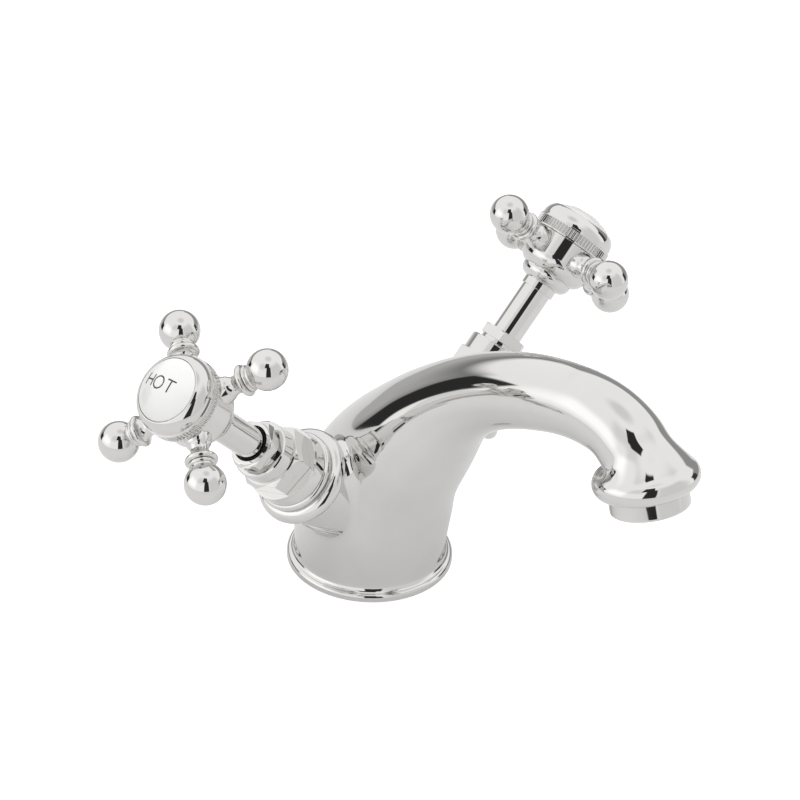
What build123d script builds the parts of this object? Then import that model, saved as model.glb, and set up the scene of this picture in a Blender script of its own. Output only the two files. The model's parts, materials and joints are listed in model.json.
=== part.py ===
from build123d import *
from math import cos, radians, sin, sqrt, tan
import os

# Two-handle basin mixer. Millimetres, +Z up, origin at the middle of the foot's underside on the deck.
# The spout reaches out along -Y. The hot valve leans out towards -X and the cold valve towards +X.

# ---------------------------------------------------------------- clearances
static_clearance = 0.05      # screwed or dropped-in pieces that don't move against each other
running_clearance = 0.05     # turning shafts in their bearings
free_clearance = 0.3         # pieces that pass each other without touching

# ---------------------------------------------------------------- foot and body
body_radius = 25.2           # body just above the foot
foot_flare = 2.3             # how far the foot's rim stands out from the body
foot_edge = 1.3              # rounding of the foot's rim
foot_rim_height = 2.6        # top of the rounded rim
foot_height = 8.4            # where the foot has run into the body
foot_radius = body_radius + foot_flare
gasket_margin = 3.7          # from the foot's rim to the gasket
gasket_width = 3.2
gasket_height = 2.0

# ---------------------------------------------------------------- spout
outlet_reach = 122.8         # middle of the outlet from the middle of the foot
outlet_height = 86.4         # middle of the outlet's lower face above the deck
outlet_tilt = 18.2           # degrees, the outlet points down and outwards
crest_height = 107.0         # highest point of the spout's centre line
nose_bend_radius = 20.0
neck_radius = 10.7
spout_wall = 4.2
waterway_floor = 0.145       # share of the spout's centre line where the waterway starts
waterway_radius = neck_radius - spout_wall

# ---------------------------------------------------------------- aerator and the bell mouth round it
aerator_radius = 12.0
aerator_show = 5.3           # length of the housing seen below the bell
aerator_lip = 1.2
aerator_wall = 1.0
aerator_lip_width = 2.4
aerator_round = 0.8
aerator_end_gap = 0.5        # between the housing's end and the bell's floor
bell_edge_radius = 4.0
bell_bore_depth = 6.5
flare_overlap = 1.0          # the flare ends this far inside the mouth's round edge
flare_growth = 0.2           # and this much wider than where the two meet
bell_bore_radius = aerator_radius + free_clearance
bell_rim_radius = aerator_radius + bell_edge_radius + 0.07
aerator_bore_radius = aerator_radius - aerator_wall
aerator_opening_radius = aerator_radius - aerator_lip_width
spigot_radius = aerator_bore_radius - static_clearance
spigot_bore_radius = waterway_radius + 1.5
screen_thickness = 0.8
screen_hole_radius = 0.7
screen_pitch = 1.15          # half the distance between the screen's holes
screen_rows = 9
insert_height = 3.4
insert_floor = 1.4
insert_hole_radius = 0.9
insert_holes = 12
insert_hole_circle = aerator_opening_radius - 2.2
washer_thickness = 1.6

# ---------------------------------------------------------------- inlets and stud hole under the foot
inlet_offset = 10.0
inlet_thread_radius = 4.5    # M10x1
inlet_thread_depth = 12.0
inlet_radius = 3.2
stud_offset = 9.5
stud_thread_radius = 3.4     # M8
stud_thread_depth = 14.0

# ---------------------------------------------------------------- valves
# Heights along a valve's axis are measured from the point where both axes cross the middle plane.
# Radii step outwards from the spindle: each is the one inside it plus a wall or a clearance.
valve_lean = 45.0            # degrees from upright
valve_back = -3.15           # y of the plane that holds both valve axes
valve_root_height = 13.6
seat_height = 20.0           # bottom of the valve's chamber
spindle_radius = 5.0
spindle_collar_radius = spindle_radius + 0.7
disc_radius = spindle_collar_radius + 0.2
disc_bore_radius = disc_radius + 0.1
cartridge_radius = disc_bore_radius + 1.0
chamber_radius = cartridge_radius + 1.0
thread_radius = cartridge_radius + 2.0
boss_radius = thread_radius + 4.0
boss_stand = 7.662           # boss face beyond where the valve's axis leaves the body
boss_fillet = 4.0
boss_face = body_radius / sin(radians(valve_lean)) + boss_stand
chamber_top = boss_face - 10.3
seat_port_radius = 3.0
elbow_radius = 3.6           # ball-nosed elbow where an inlet turns into its seat port
cross_port_height = 38.0
cross_port_radius = 3.0
cross_port_reach = 20.0

trim_height = 6.0
trim_radius = boss_radius + trim_height / 2
bead_radius = 1.3
bead_centre_radius = thread_radius + 3.0
plinth_radius = bead_centre_radius + 0.3
plinth_neck_radius = bead_centre_radius - 0.4
plinth_height = 4.6
hex_seat_radius = bead_centre_radius + 0.2
hex_seat_height = 1.4
hex_height = 7.3
hex_chamfer_angle = 30
band_height = 5.5
band_chamfer = 0.5
cartridge_foot_gap = 1.0     # between the cartridge's lower end and the chamber's bottom
window_width = 5.0
window_height = 3.2
window_rise = 0.2            # between the moving disc and the windows
bearing_rise = 1.2           # between the windows and the spindle's bearing

stem_radius = spindle_radius + 0.15
stem_wall = 0.75
gland_shank_radius = stem_radius + free_clearance + 0.85
gland_neck_radius = gland_shank_radius + 0.5
gland_neck_height = 1.3
gland_across_flats = 2 * (gland_neck_radius + 0.4)
gland_height = 3.6
gland_round = 1.4
gland_shank_length = 5.5
band_radius = gland_neck_radius + 2.7
hex_across_flats = 2 * (band_radius + 0.4)
seal_section_radius = 0.35
seal_recess_depth = 1.2

fixed_disc_height = 2.2
moving_disc_height = 2.4
disc_film = 0.05             # oil film between the two ceramic discs
disc_port_radius = 1.35
disc_port_circle = disc_radius - 2.3
disc_slot_width = 3.2
disc_slot_depth = 1.0
seat_seal_height = 2.0
seat_seal_inner = disc_radius - 2.0

spindle_neck_radius = stem_radius - stem_wall - 0.4
spindle_neck_taper = 1.0
spindle_spline_radius = spindle_neck_radius - 0.4
spindle_spline_teeth = 20
spline_depth = 0.25
spindle_collar_height = 1.4
spindle_blade_width = 3.0
spindle_blade_length = 2 * disc_radius - 2.8
blade_play = 0.2
oring_section_radius = 1.0
oring_groove_width = 2.4
oring_below_face = 2.3       # from the boss's face down to the O-ring
circlip_radius = spindle_radius + 0.8
circlip_thickness = 0.8
circlip_gap = 2.4
circlip_room = 3.0           # from the bearing's top to the gland's end
circlip_groove_radius = spindle_radius - 0.7
end_float = 0.1              # play of the spindle between its collar and its circlip

# ---------------------------------------------------------------- handles
handle_stand = 64.3          # plane of the four arms beyond the boss's face
handle_height = boss_face + handle_stand
hub_radius = 12.1
hub_height = 7.2             # plain cylinder of the hub
arm_below_face = 4.5         # arm axes below the hub's face
bowl_height = 5.1
bowl_radius = hub_radius - 3.1
bowl_rise = 0.9              # outward bulge of the bowl
bulb_height = 3.8
bulb_start_radius = stem_radius + 0.65
bulb_end_radius = bowl_radius - 0.1
bulb_rise = 0.9
collar_height = 2.7
hub_socket_depth = 3.7
screw_head_radius = 3.8
screw_head_height = 2.6
screw_shank_radius = 1.9
screw_length = 8.0
screw_socket = 2.5
screw_end_gap = 0.8          # left below the screw's head and at the bottom of its socket
hub_well_radius = screw_head_radius + 2.2
hub_well_depth = 3.0         # below the hub's cylinder
spigot_height = 3.4          # threaded top of the hub inside the milled bezel
spigot_top_radius = hub_radius - 1.1

bezel_radius = hub_radius + 1.2
mill_height = 4.0
mill_border = 0.45
mill_grooves = 80
mill_depth = 0.35
bezel_height = 8.9
bezel_dome_radius = bezel_radius - 0.4
bezel_shoulder = 0.6
bezel_brow = 0.3             # flat top of the bezel's mouth
bezel_lip_under = 5.4        # underside of the bezel's lip above the hub's face
index_flange_radius = spigot_top_radius - 0.1
index_radius = index_flange_radius - 0.65
bezel_mouth_radius = index_radius + 0.1
index_side_height = 8.9
index_rise = 2.9

arm_boss_radius = 4.4
arm_boss_reach = hub_radius + 1.9   # radial distance where an arm's own piece starts
arm_shank_radius = 2.0
arm_shank_start = hub_well_radius + 2.4
arm_foot_radius = 3.7
arm_neck_radius = 2.9
arm_neck_rise = 2.0
arm_ring_reach = arm_boss_reach + 5.2
arm_ring_radius = 5.1
arm_ring_width = 2.0
arm_bead_radius = 4.3
arm_bead_width = 1.3
ball_reach = arm_ring_reach + 8.16
ball_radius = 6.45
arms = 4
rest_turn = {"hot": 52.8, "cold": 77.4}   # degrees of the first arm about the valve's axis
hex_turn = {"hot": 51.0, "cold": 33.0}    # degrees of a corner of the bonnet's hexagon
gland_turn = {"hot": 52.0, "cold": 33.0}  # and of the gland nut's
sides = {"hot": -1, "cold": 1}

# ---------------------------------------------------------------- derived heights along a valve's axis
bonnet_seat = boss_face + trim_height
bead_top = bonnet_seat + 2 * bead_radius
plinth_top = bead_top + plinth_height
hex_start = plinth_top + hex_seat_height
hex_top = hex_start + hex_height
band_top = hex_top + band_height
gland_start = band_top + gland_neck_height
gland_top = gland_start + gland_height
gland_shank_end = band_top - gland_shank_length
cartridge_foot = seat_height + cartridge_foot_gap
fixed_disc_start = seat_height + seat_seal_height
moving_disc_start = fixed_disc_start + fixed_disc_height + disc_film
moving_disc_top = moving_disc_start + moving_disc_height
window_start = moving_disc_top + window_rise
bearing_start = window_start + window_height + bearing_rise
collar_top = bearing_start - end_float
oring_height = boss_face - oring_below_face
bearing_top = gland_shank_end - circlip_room
circlip_start = bearing_top + end_float
neck_start = circlip_start + 2 * circlip_thickness
hub_start = handle_height - hub_height + arm_below_face
hub_face = hub_start + hub_height
bowl_start = hub_start - bowl_height
bulb_start = bowl_start - bulb_height
collar_start = bulb_start - collar_height
socket_top = collar_start + hub_socket_depth
well_floor = hub_start - hub_well_depth
spigot_face = hub_face + spigot_height
bezel_top = hub_face + bezel_height
index_flange_top = hub_face + bezel_lip_under - static_clearance
index_side_top = hub_face + index_side_height
spindle_top = well_floor - screw_end_gap
stem_start = gland_shank_end + 2.6

# ---------------------------------------------------------------- derived outlet frame
tilt = radians(outlet_tilt)
outlet_up = Vector(0, sin(tilt), cos(tilt))
outlet_face = Vector(0, -outlet_reach, outlet_height)
outlet_plane = Plane(origin=outlet_face, x_dir=(1, 0, 0), z_dir=outlet_up)
bell_height = aerator_show + bell_edge_radius
bell_centre_radius = bell_rim_radius - bell_edge_radius
bell_join = bell_height + bell_edge_radius * sin(radians(45))
bell_join_radius = bell_centre_radius + bell_edge_radius * cos(radians(45))
nose_straight = (crest_height - outlet_height - nose_bend_radius * (1 - sin(tilt))) / cos(tilt)
nose_end = outlet_face + outlet_up * nose_straight
bend_centre = nose_end + Vector(0, cos(tilt), -sin(tilt)) * nose_bend_radius
crest = bend_centre + Vector(0, 0, nose_bend_radius)
washer_start = aerator_lip + screen_thickness + insert_height
spigot_end = washer_start + washer_thickness
spigot_root = aerator_show + bell_bore_depth
housing_end = spigot_root - aerator_end_gap

gasket_radius = foot_radius - gasket_margin
seal_outer = stem_radius + running_clearance + 2 * seal_section_radius
elbow_height = inlet_offset / sin(radians(valve_lean))
inlet_top = valve_root_height + elbow_height * cos(radians(valve_lean))
outlet_section = Plane(origin=outlet_face, x_dir=(1, 0, 0), z_dir=(0, -cos(tilt), sin(tilt)))

os.makedirs("parts", exist_ok=True)


def save(piece, name):
    """Label a finished piece with its node name and write its STEP file."""
    piece.part.label = name
    export_step(piece.part, f"parts/{name}.step")


def valve_axis(side):
    """Direction of a valve's axis, pointing out of the body through its handle."""
    lean = radians(valve_lean)
    return Vector(sides[side] * sin(lean), 0, cos(lean))


def valve_plane(side, height=0.0, turn=0.0):
    """Plane across a valve's axis at a height along it, turned about the axis."""
    axis = valve_axis(side)
    root = Vector(0, valve_back, valve_root_height)
    forward = Vector(0, 1, 0)
    across = forward.cross(axis)
    return Plane(
        origin=root + axis * height,
        x_dir=across * cos(radians(turn)) + forward * sin(radians(turn)),
        z_dir=axis,
    )


def section_plane(side, turn=0.0):
    """Plane through a valve's axis: its x is the radius and its y the height along the axis."""
    across = valve_plane(side, 0, turn)
    return Plane(origin=across.origin, x_dir=across.x_dir, z_dir=-across.y_dir)


def arm_plane(side, number):
    """Plane through an arm's own axis: its x is the distance across it and its y the distance along it."""
    hub = valve_plane(side, handle_height, rest_turn[side] + number * 360 / arms)
    return Plane(origin=hub.origin, x_dir=hub.z_dir, z_dir=hub.z_dir.cross(hub.x_dir))


def arm_axis(side, number):
    """Axis that an arm is turned about."""
    plane = arm_plane(side, number)
    return Axis(plane.origin, plane.y_dir)


def is_boss_root(edge):
    """Whether an edge of the casting is where a valve's boss runs into the body."""
    if edge.geom_type in (GeomType.LINE, GeomType.CIRCLE):
        return False
    for side in sides:
        point = valve_plane(side).to_local_coords(edge @ 0.5)
        on_boss = abs(sqrt(point.X ** 2 + point.Y ** 2) - boss_radius) < 0.01
        if on_boss and point.Z > seat_height:
            return True
    return False


def ring_outline(inner, outer, low, high):
    """Closed rectangle between two radii and two heights, for a turned ring."""
    Polyline((inner, low), (outer, low), (outer, high), (inner, high), close=True)


# ---------------------------------------------------------------- centre line of the body and spout
# The line rises from the foot, leans forward through the body, and runs over the crest into the nose.
belly = Vector(0, -6.2, 35.9)
shoulder = Vector(0, -20.2, 57.3)
throat = Vector(0, -37.3, 78.6)
arch = Vector(0, throat.Y + 0.53 * (crest.Y - throat.Y), throat.Z + 0.76 * (crest.Z - throat.Z))
rise = Spline(
    (0, 0, foot_height), belly, shoulder, throat, arch, crest,
    tangents=[(0, 0, 1), (0, -1, 0)],
)
nose = ThreePointArc(
    crest,
    bend_centre + Vector(0, -sin(radians(35)), cos(radians(35))) * nose_bend_radius,
    nose_end,
)
waterway = Wire([
    rise.trim(waterway_floor, 1), nose,
    Line(nose_end, outlet_face + outlet_up * (spigot_root - 1)),
])
# (share of the rise, fullness there: 1 is the body's radius and 0 the neck's)
rise_stations = [
    (0.0, 1.0), (0.055, 1.028), (0.12, 1.014), (0.19, 0.924), (0.28, 0.772), (0.37, 0.607),
    (0.44, 0.455), (0.50, 0.31), (0.56, 0.2), (0.63, 0.124), (0.72, 0.076), (0.82, 0.048), (0.91, 0.014),
    (1.0, 0.0),
]
# (share of the nose bend, how much wider than the neck it is there)
nose_stations = [(0.25, -0.1), (0.5, 0.1), (0.66, 0.8)]

with BuildPart() as body_casting:
    for share, fullness in rise_stations:
        with BuildSketch(Plane(origin=rise @ share, x_dir=(1, 0, 0), z_dir=rise % share)):
            Circle(neck_radius + fullness * (body_radius - neck_radius))
    for share, flare in nose_stations:
        with BuildSketch(Plane(origin=nose @ share, x_dir=(1, 0, 0), z_dir=nose % share)):
            Circle(neck_radius + flare)
    flare_end = outlet_face + outlet_up * (bell_join - flare_overlap)
    with BuildSketch(Plane(origin=flare_end, x_dir=(1, 0, 0), z_dir=-outlet_up)):
        Circle(bell_join_radius + flare_growth)
    loft()
    # foot: rounded rim and a cove that runs up into the body
    with BuildSketch(Plane.XZ):
        with BuildLine():
            rim_top = (foot_radius - foot_edge, foot_rim_height)
            Polyline((0, foot_height), (0, 0), (foot_radius, 0), (foot_radius, foot_rim_height - foot_edge))
            JernArc((foot_radius, foot_rim_height - foot_edge), (0, 1), foot_edge, 90)
            Spline(rim_top, (body_radius, foot_height), tangents=[(-1, 0.4), (0, 1)])
            Line((body_radius, foot_height), (0, foot_height))
        make_face()
    revolve(axis=Axis.Z)
    # bell mouth: the full round edge below the flare
    with BuildSketch(outlet_section):
        with BuildLine():
            edge_start = (bell_centre_radius, bell_height + bell_edge_radius)
            edge_middle = (bell_rim_radius, bell_height)
            edge_end = (bell_centre_radius, aerator_show)
            ThreePointArc(edge_start, edge_middle, edge_end)
            Polyline(edge_end, (0, aerator_show), (0, bell_height + bell_edge_radius), edge_start)
        make_face()
    revolve(axis=Axis(outlet_face, outlet_up))
    # valve bosses
    for side in sides:
        with BuildSketch(valve_plane(side, seat_height)):
            Circle(boss_radius)
        extrude(amount=boss_face - seat_height)
    boss_roots = body_casting.edges().filter_by(is_boss_root)
    fillet(boss_roots, radius=boss_fillet)
    # waterway from the mixing chamber to the outlet
    with BuildSketch(Plane(origin=rise @ waterway_floor, x_dir=(1, 0, 0), z_dir=rise % waterway_floor)):
        Circle(waterway_radius)
    sweep(path=waterway, mode=Mode.SUBTRACT)
    # room for the aerator: an annular gap round the threaded spigot
    with BuildSketch(outlet_plane.offset(aerator_show)):
        Circle(bell_bore_radius)
    extrude(amount=bell_bore_depth, mode=Mode.SUBTRACT)
    with BuildSketch(outlet_plane.offset(spigot_end)):
        Circle(spigot_radius)
    extrude(amount=spigot_root - spigot_end + 1)
    with BuildSketch(outlet_plane.offset(spigot_end)):
        Circle(waterway_radius)
    extrude(amount=spigot_root - spigot_end + 1.5, mode=Mode.SUBTRACT)
    for side in sides:
        # stepped valve chamber and the port up through its seat
        with BuildSketch(valve_plane(side, seat_height)):
            Circle(chamber_radius)
        extrude(amount=chamber_top - seat_height, mode=Mode.SUBTRACT)
        with BuildSketch(valve_plane(side, chamber_top)):
            Circle(thread_radius + static_clearance)
        extrude(amount=boss_face - chamber_top, mode=Mode.SUBTRACT)
        with BuildSketch(valve_plane(side, elbow_height)):
            Circle(seat_port_radius)
        extrude(amount=seat_height - elbow_height, mode=Mode.SUBTRACT)
        with Locations(valve_plane(side, elbow_height).origin):
            Sphere(elbow_radius, mode=Mode.SUBTRACT)
        # inlet: threaded below, plain up to the seat port
        with BuildSketch(Plane.XY):
            with Locations((sides[side] * inlet_offset, valve_back)):
                Circle(inlet_thread_radius)
        extrude(amount=inlet_thread_depth, mode=Mode.SUBTRACT)
        with BuildSketch(Plane.XY.offset(inlet_thread_depth)):
            with Locations((sides[side] * inlet_offset, valve_back)):
                Circle(inlet_radius)
        extrude(amount=inlet_top - inlet_thread_depth, mode=Mode.SUBTRACT)
    # cross port that joins both chambers to the waterway
    with BuildSketch(Plane.YZ.offset(-cross_port_reach)):
        with Locations((valve_back, cross_port_height)):
            Circle(cross_port_radius)
    extrude(amount=2 * cross_port_reach, mode=Mode.SUBTRACT)
    with BuildSketch(Plane.XY):
        with Locations((0, stud_offset)):
            Circle(stud_thread_radius)
    extrude(amount=stud_thread_depth, mode=Mode.SUBTRACT)
    with BuildSketch(Plane.XY):
        Circle(gasket_radius)
        Circle(gasket_radius - gasket_width, mode=Mode.SUBTRACT)
    extrude(amount=gasket_height, mode=Mode.SUBTRACT)
save(body_casting, "body_casting")

with BuildPart() as base_gasket:
    with BuildSketch(Plane.XY):
        Circle(gasket_radius)
        Circle(gasket_radius - gasket_width, mode=Mode.SUBTRACT)
    extrude(amount=gasket_height)
save(base_gasket, "base_gasket")

# ---------------------------------------------------------------- aerator
with BuildPart() as aerator_housing:
    with BuildSketch(outlet_section):
        with BuildLine():
            Polyline(
                (aerator_opening_radius, 0), (aerator_radius, 0), (aerator_radius, housing_end),
                (aerator_bore_radius, housing_end), (aerator_bore_radius, aerator_lip),
                (aerator_opening_radius, aerator_lip), close=True,
            )
        make_face()
    revolve(axis=Axis(outlet_face, outlet_up))
    outer_rim = aerator_housing.edges().filter_by(GeomType.CIRCLE).group_by(lambda edge: edge.radius)[-1]
    fillet(outer_rim.sort_by(lambda edge: (edge.center() - outlet_face).length)[0], radius=aerator_round)
save(aerator_housing, "aerator_housing")

with BuildPart() as aerator_screen:
    with BuildSketch(outlet_plane.offset(aerator_lip)):
        Circle(spigot_radius)
        with HexLocations(screen_pitch, screen_rows, screen_rows):
            Circle(screen_hole_radius, mode=Mode.SUBTRACT)
    extrude(amount=screen_thickness)
save(aerator_screen, "aerator_screen")

with BuildPart() as aerator_insert:
    with BuildSketch(outlet_plane.offset(aerator_lip + screen_thickness)):
        Circle(spigot_radius)
        Circle(aerator_opening_radius, mode=Mode.SUBTRACT)
    extrude(amount=insert_height)
    with BuildSketch(outlet_plane.offset(aerator_lip + screen_thickness + insert_height - insert_floor)):
        Circle(aerator_opening_radius)
        with PolarLocations(insert_hole_circle, insert_holes):
            Circle(insert_hole_radius, mode=Mode.SUBTRACT)
    extrude(amount=insert_floor)
save(aerator_insert, "aerator_insert")

with BuildPart() as aerator_washer:
    with BuildSketch(outlet_plane.offset(washer_start)):
        Circle(spigot_radius)
        Circle(spigot_bore_radius, mode=Mode.SUBTRACT)
    extrude(amount=washer_thickness)
save(aerator_washer, "aerator_washer")

# ---------------------------------------------------------------- the two valves and their handles
for side in sides:
    axis = Axis(valve_plane(side).origin, valve_axis(side))

    with BuildPart() as trim_ring:
        with BuildSketch(section_plane(side)):
            with BuildLine():
                round_radius = trim_height / 2
                inner = thread_radius + free_clearance
                Polyline(
                    (trim_radius - round_radius, bonnet_seat), (inner, bonnet_seat),
                    (inner, boss_face), (trim_radius - round_radius, boss_face),
                )
                ThreePointArc(
                    (trim_radius - round_radius, boss_face), (trim_radius, boss_face + round_radius),
                    (trim_radius - round_radius, bonnet_seat),
                )
            make_face()
        revolve(axis=axis)
    save(trim_ring, f"{side}_trim_ring")

    with BuildPart() as bonnet:
        with BuildSketch(section_plane(side)):
            with BuildLine():
                # outside: cartridge, thread, bead, plinth, hexagon seat
                Polyline(
                    (disc_bore_radius, cartridge_foot), (cartridge_radius, cartridge_foot),
                    (cartridge_radius, chamber_top), (thread_radius, chamber_top),
                    (thread_radius, bonnet_seat), (bead_centre_radius, bonnet_seat),
                )
                ThreePointArc(
                    (bead_centre_radius, bonnet_seat), (bead_centre_radius + bead_radius, bonnet_seat + bead_radius),
                    (bead_centre_radius, bead_top),
                )
                Polyline((bead_centre_radius, bead_top), (plinth_radius, bead_top))
                Spline(
                    (plinth_radius, bead_top), (plinth_neck_radius, plinth_top),
                    tangents=[(0, 1), (-0.3, 1)],
                )
                Polyline(
                    (plinth_neck_radius, plinth_top), (hex_seat_radius, plinth_top),
                    (hex_seat_radius, hex_start), (band_radius, hex_start), (band_radius, band_top - band_chamfer),
                    (band_radius - band_chamfer, band_top), (gland_shank_radius + static_clearance, band_top),
                    (gland_shank_radius + static_clearance, bearing_top),
                    (spindle_radius + running_clearance, bearing_top),
                    (spindle_radius + running_clearance, bearing_start), (disc_bore_radius, bearing_start),
                    (disc_bore_radius, cartridge_foot),
                )
            make_face()
        revolve(axis=axis)
        # hexagon with its corners turned off at the top
        with BuildSketch(valve_plane(side, hex_start, hex_turn[side])):
            RegularPolygon(hex_across_flats / 2, 6, major_radius=False)
            Circle(band_radius - 1, mode=Mode.SUBTRACT)
        extrude(amount=hex_height)
        with BuildSketch(section_plane(side)):
            with BuildLine():
                corner = hex_across_flats / sqrt(3)
                cone_rise = (corner + 1 - hex_across_flats / 2) * tan(radians(hex_chamfer_angle))
                Polyline(
                    (hex_across_flats / 2, hex_top), (corner + 1, hex_top),
                    (corner + 1, hex_top - cone_rise), close=True,
                )
            make_face()
        revolve(axis=axis, mode=Mode.SUBTRACT)
        # water windows through the cartridge's wall
        with BuildSketch(valve_plane(side, window_start)):
            Rectangle(2 * thread_radius, window_width)
        extrude(amount=window_height, mode=Mode.SUBTRACT)
    save(bonnet, f"{side}_bonnet")

    with BuildPart() as gland_nut:
        with BuildSketch(section_plane(side)):
            with BuildLine():
                bore = stem_radius + free_clearance
                corner = gland_across_flats / sqrt(3)
                Polyline(
                    (bore, gland_shank_end), (gland_shank_radius, gland_shank_end),
                    (gland_shank_radius, band_top), (gland_neck_radius, band_top),
                    (gland_neck_radius, gland_start), (corner, gland_start),
                    (corner, gland_top - gland_round),
                )
                ThreePointArc(
                    (corner, gland_top - gland_round),
                    (corner - gland_round * (1 - sin(radians(45))), gland_top - gland_round * (1 - cos(radians(45)))),
                    (corner - gland_round, gland_top),
                )
                Polyline(
                    (corner - gland_round, gland_top), (seal_outer, gland_top),
                    (seal_outer, gland_top - seal_recess_depth), (bore, gland_top - seal_recess_depth),
                    (bore, gland_shank_end),
                )
            make_face()
        revolve(axis=axis)
        with BuildSketch(valve_plane(side, gland_start, gland_turn[side])):
            Circle(2 * gland_across_flats)
            RegularPolygon(gland_across_flats / 2, 6, major_radius=False, mode=Mode.SUBTRACT)
        extrude(amount=gland_height, mode=Mode.SUBTRACT)
    save(gland_nut, f"{side}_gland_nut")

    with BuildPart() as stem_seal:
        with BuildSketch(section_plane(side)):
            with Locations((stem_radius + running_clearance + seal_section_radius,
                            gland_top - seal_recess_depth + seal_section_radius)):
                Circle(seal_section_radius)
        revolve(axis=axis)
    save(stem_seal, f"{side}_stem_seal")

    with BuildPart() as seat_seal:
        with BuildSketch(valve_plane(side, seat_height)):
            Circle(disc_radius)
            Circle(seat_seal_inner, mode=Mode.SUBTRACT)
        extrude(amount=seat_seal_height)
    save(seat_seal, f"{side}_seat_seal")

    with BuildPart() as fixed_disc:
        with BuildSketch(valve_plane(side, fixed_disc_start)):
            Circle(disc_radius)
            with PolarLocations(disc_port_circle, 2):
                Circle(disc_port_radius, mode=Mode.SUBTRACT)
        extrude(amount=fixed_disc_height)
    save(fixed_disc, f"{side}_fixed_disc")

    with BuildPart() as moving_disc:
        with BuildSketch(valve_plane(side, moving_disc_start)):
            Circle(disc_radius)
            with PolarLocations(disc_port_circle, 2, start_angle=90):
                Circle(disc_port_radius, mode=Mode.SUBTRACT)
        extrude(amount=moving_disc_height)
        with BuildSketch(valve_plane(side, moving_disc_top - disc_slot_depth)):
            Rectangle(spindle_blade_length + blade_play, disc_slot_width)
        extrude(amount=disc_slot_depth, mode=Mode.SUBTRACT)
    save(moving_disc, f"{side}_moving_disc")

    with BuildPart() as spindle:
        groove_bottom = spindle_radius - 2 * oring_section_radius
        with BuildSketch(section_plane(side)):
            with BuildLine():
                Polyline(
                    (0, collar_top - spindle_collar_height),
                    (spindle_collar_radius, collar_top - spindle_collar_height),
                    (spindle_collar_radius, collar_top), (spindle_radius, collar_top),
                    (spindle_radius, oring_height - oring_groove_width / 2),
                    (groove_bottom, oring_height - oring_groove_width / 2),
                    (groove_bottom, oring_height + oring_groove_width / 2),
                    (spindle_radius, oring_height + oring_groove_width / 2),
                    (spindle_radius, circlip_start), (circlip_groove_radius, circlip_start),
                    (circlip_groove_radius, circlip_start + circlip_thickness),
                    (spindle_radius, circlip_start + circlip_thickness),
                    (spindle_radius, neck_start), (spindle_neck_radius, neck_start + spindle_neck_taper),
                    (spindle_neck_radius, socket_top),
                    (spindle_spline_radius, socket_top), (spindle_spline_radius, spindle_top),
                    (0, spindle_top), close=True,
                )
            make_face()
        revolve(axis=axis)
        # splines that key the handle
        with BuildSketch(valve_plane(side, socket_top)):
            with PolarLocations(spindle_spline_radius, spindle_spline_teeth):
                Circle(spline_depth)
        extrude(amount=spindle_top - socket_top, mode=Mode.SUBTRACT)
        # blade that turns the moving disc
        with BuildSketch(valve_plane(side, moving_disc_top - disc_slot_depth)):
            Rectangle(spindle_blade_length, spindle_blade_width)
        extrude(amount=collar_top - spindle_collar_height - moving_disc_top + disc_slot_depth)
        # tapped hole for the handle screw
        with BuildSketch(valve_plane(side, spindle_top)):
            Circle(screw_shank_radius)
        extrude(amount=-screw_length, mode=Mode.SUBTRACT)
    save(spindle, f"{side}_spindle")

    with BuildPart() as spindle_oring:
        with BuildSketch(section_plane(side)):
            with Locations((spindle_radius - oring_section_radius, oring_height)):
                Circle(oring_section_radius)
        revolve(axis=axis)
    save(spindle_oring, f"{side}_spindle_oring")

    with BuildPart() as circlip:
        with BuildSketch(valve_plane(side, circlip_start)):
            Circle(circlip_radius)
            Circle(circlip_groove_radius, mode=Mode.SUBTRACT)
            with Locations((circlip_radius, 0)):
                Rectangle(2 * circlip_radius, circlip_gap, mode=Mode.SUBTRACT)
        extrude(amount=circlip_thickness)
    save(circlip, f"{side}_circlip")

    with BuildPart() as stem_tube:
        with BuildSketch(valve_plane(side, stem_start)):
            Circle(stem_radius)
            Circle(stem_radius - stem_wall, mode=Mode.SUBTRACT)
        extrude(amount=socket_top - stem_start)
    save(stem_tube, f"{side}_stem_tube")

    with BuildPart() as hub:
        with BuildSketch(section_plane(side)):
            with BuildLine():
                bowl_edge = (bowl_radius, bowl_start)
                hub_edge = (hub_radius, hub_start)
                Polyline(
                    (stem_radius, socket_top), (stem_radius, collar_start),
                    (bulb_start_radius, collar_start), (bulb_start_radius, bulb_start),
                )
                ThreePointArc(
                    (bulb_start_radius, bulb_start),
                    ((bulb_start_radius + bulb_end_radius) / 2 + bulb_rise, bulb_start + bulb_height / 2 - 0.6),
                    (bulb_end_radius, bowl_start),
                )
                Line((bulb_end_radius, bowl_start), bowl_edge)
                ThreePointArc(
                    bowl_edge,
                    ((bowl_radius + hub_radius) / 2 + bowl_rise, bowl_start + bowl_height / 2 - 0.4),
                    hub_edge,
                )
                Polyline(
                    hub_edge, (hub_radius, hub_face), (spigot_top_radius, hub_face),
                    (spigot_top_radius, spigot_face), (hub_well_radius, spigot_face),
                    (hub_well_radius, well_floor), (spindle_spline_radius + static_clearance, well_floor),
                    (spindle_spline_radius + static_clearance, socket_top), (stem_radius, socket_top),
                )
            make_face()
        revolve(axis=axis)
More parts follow.
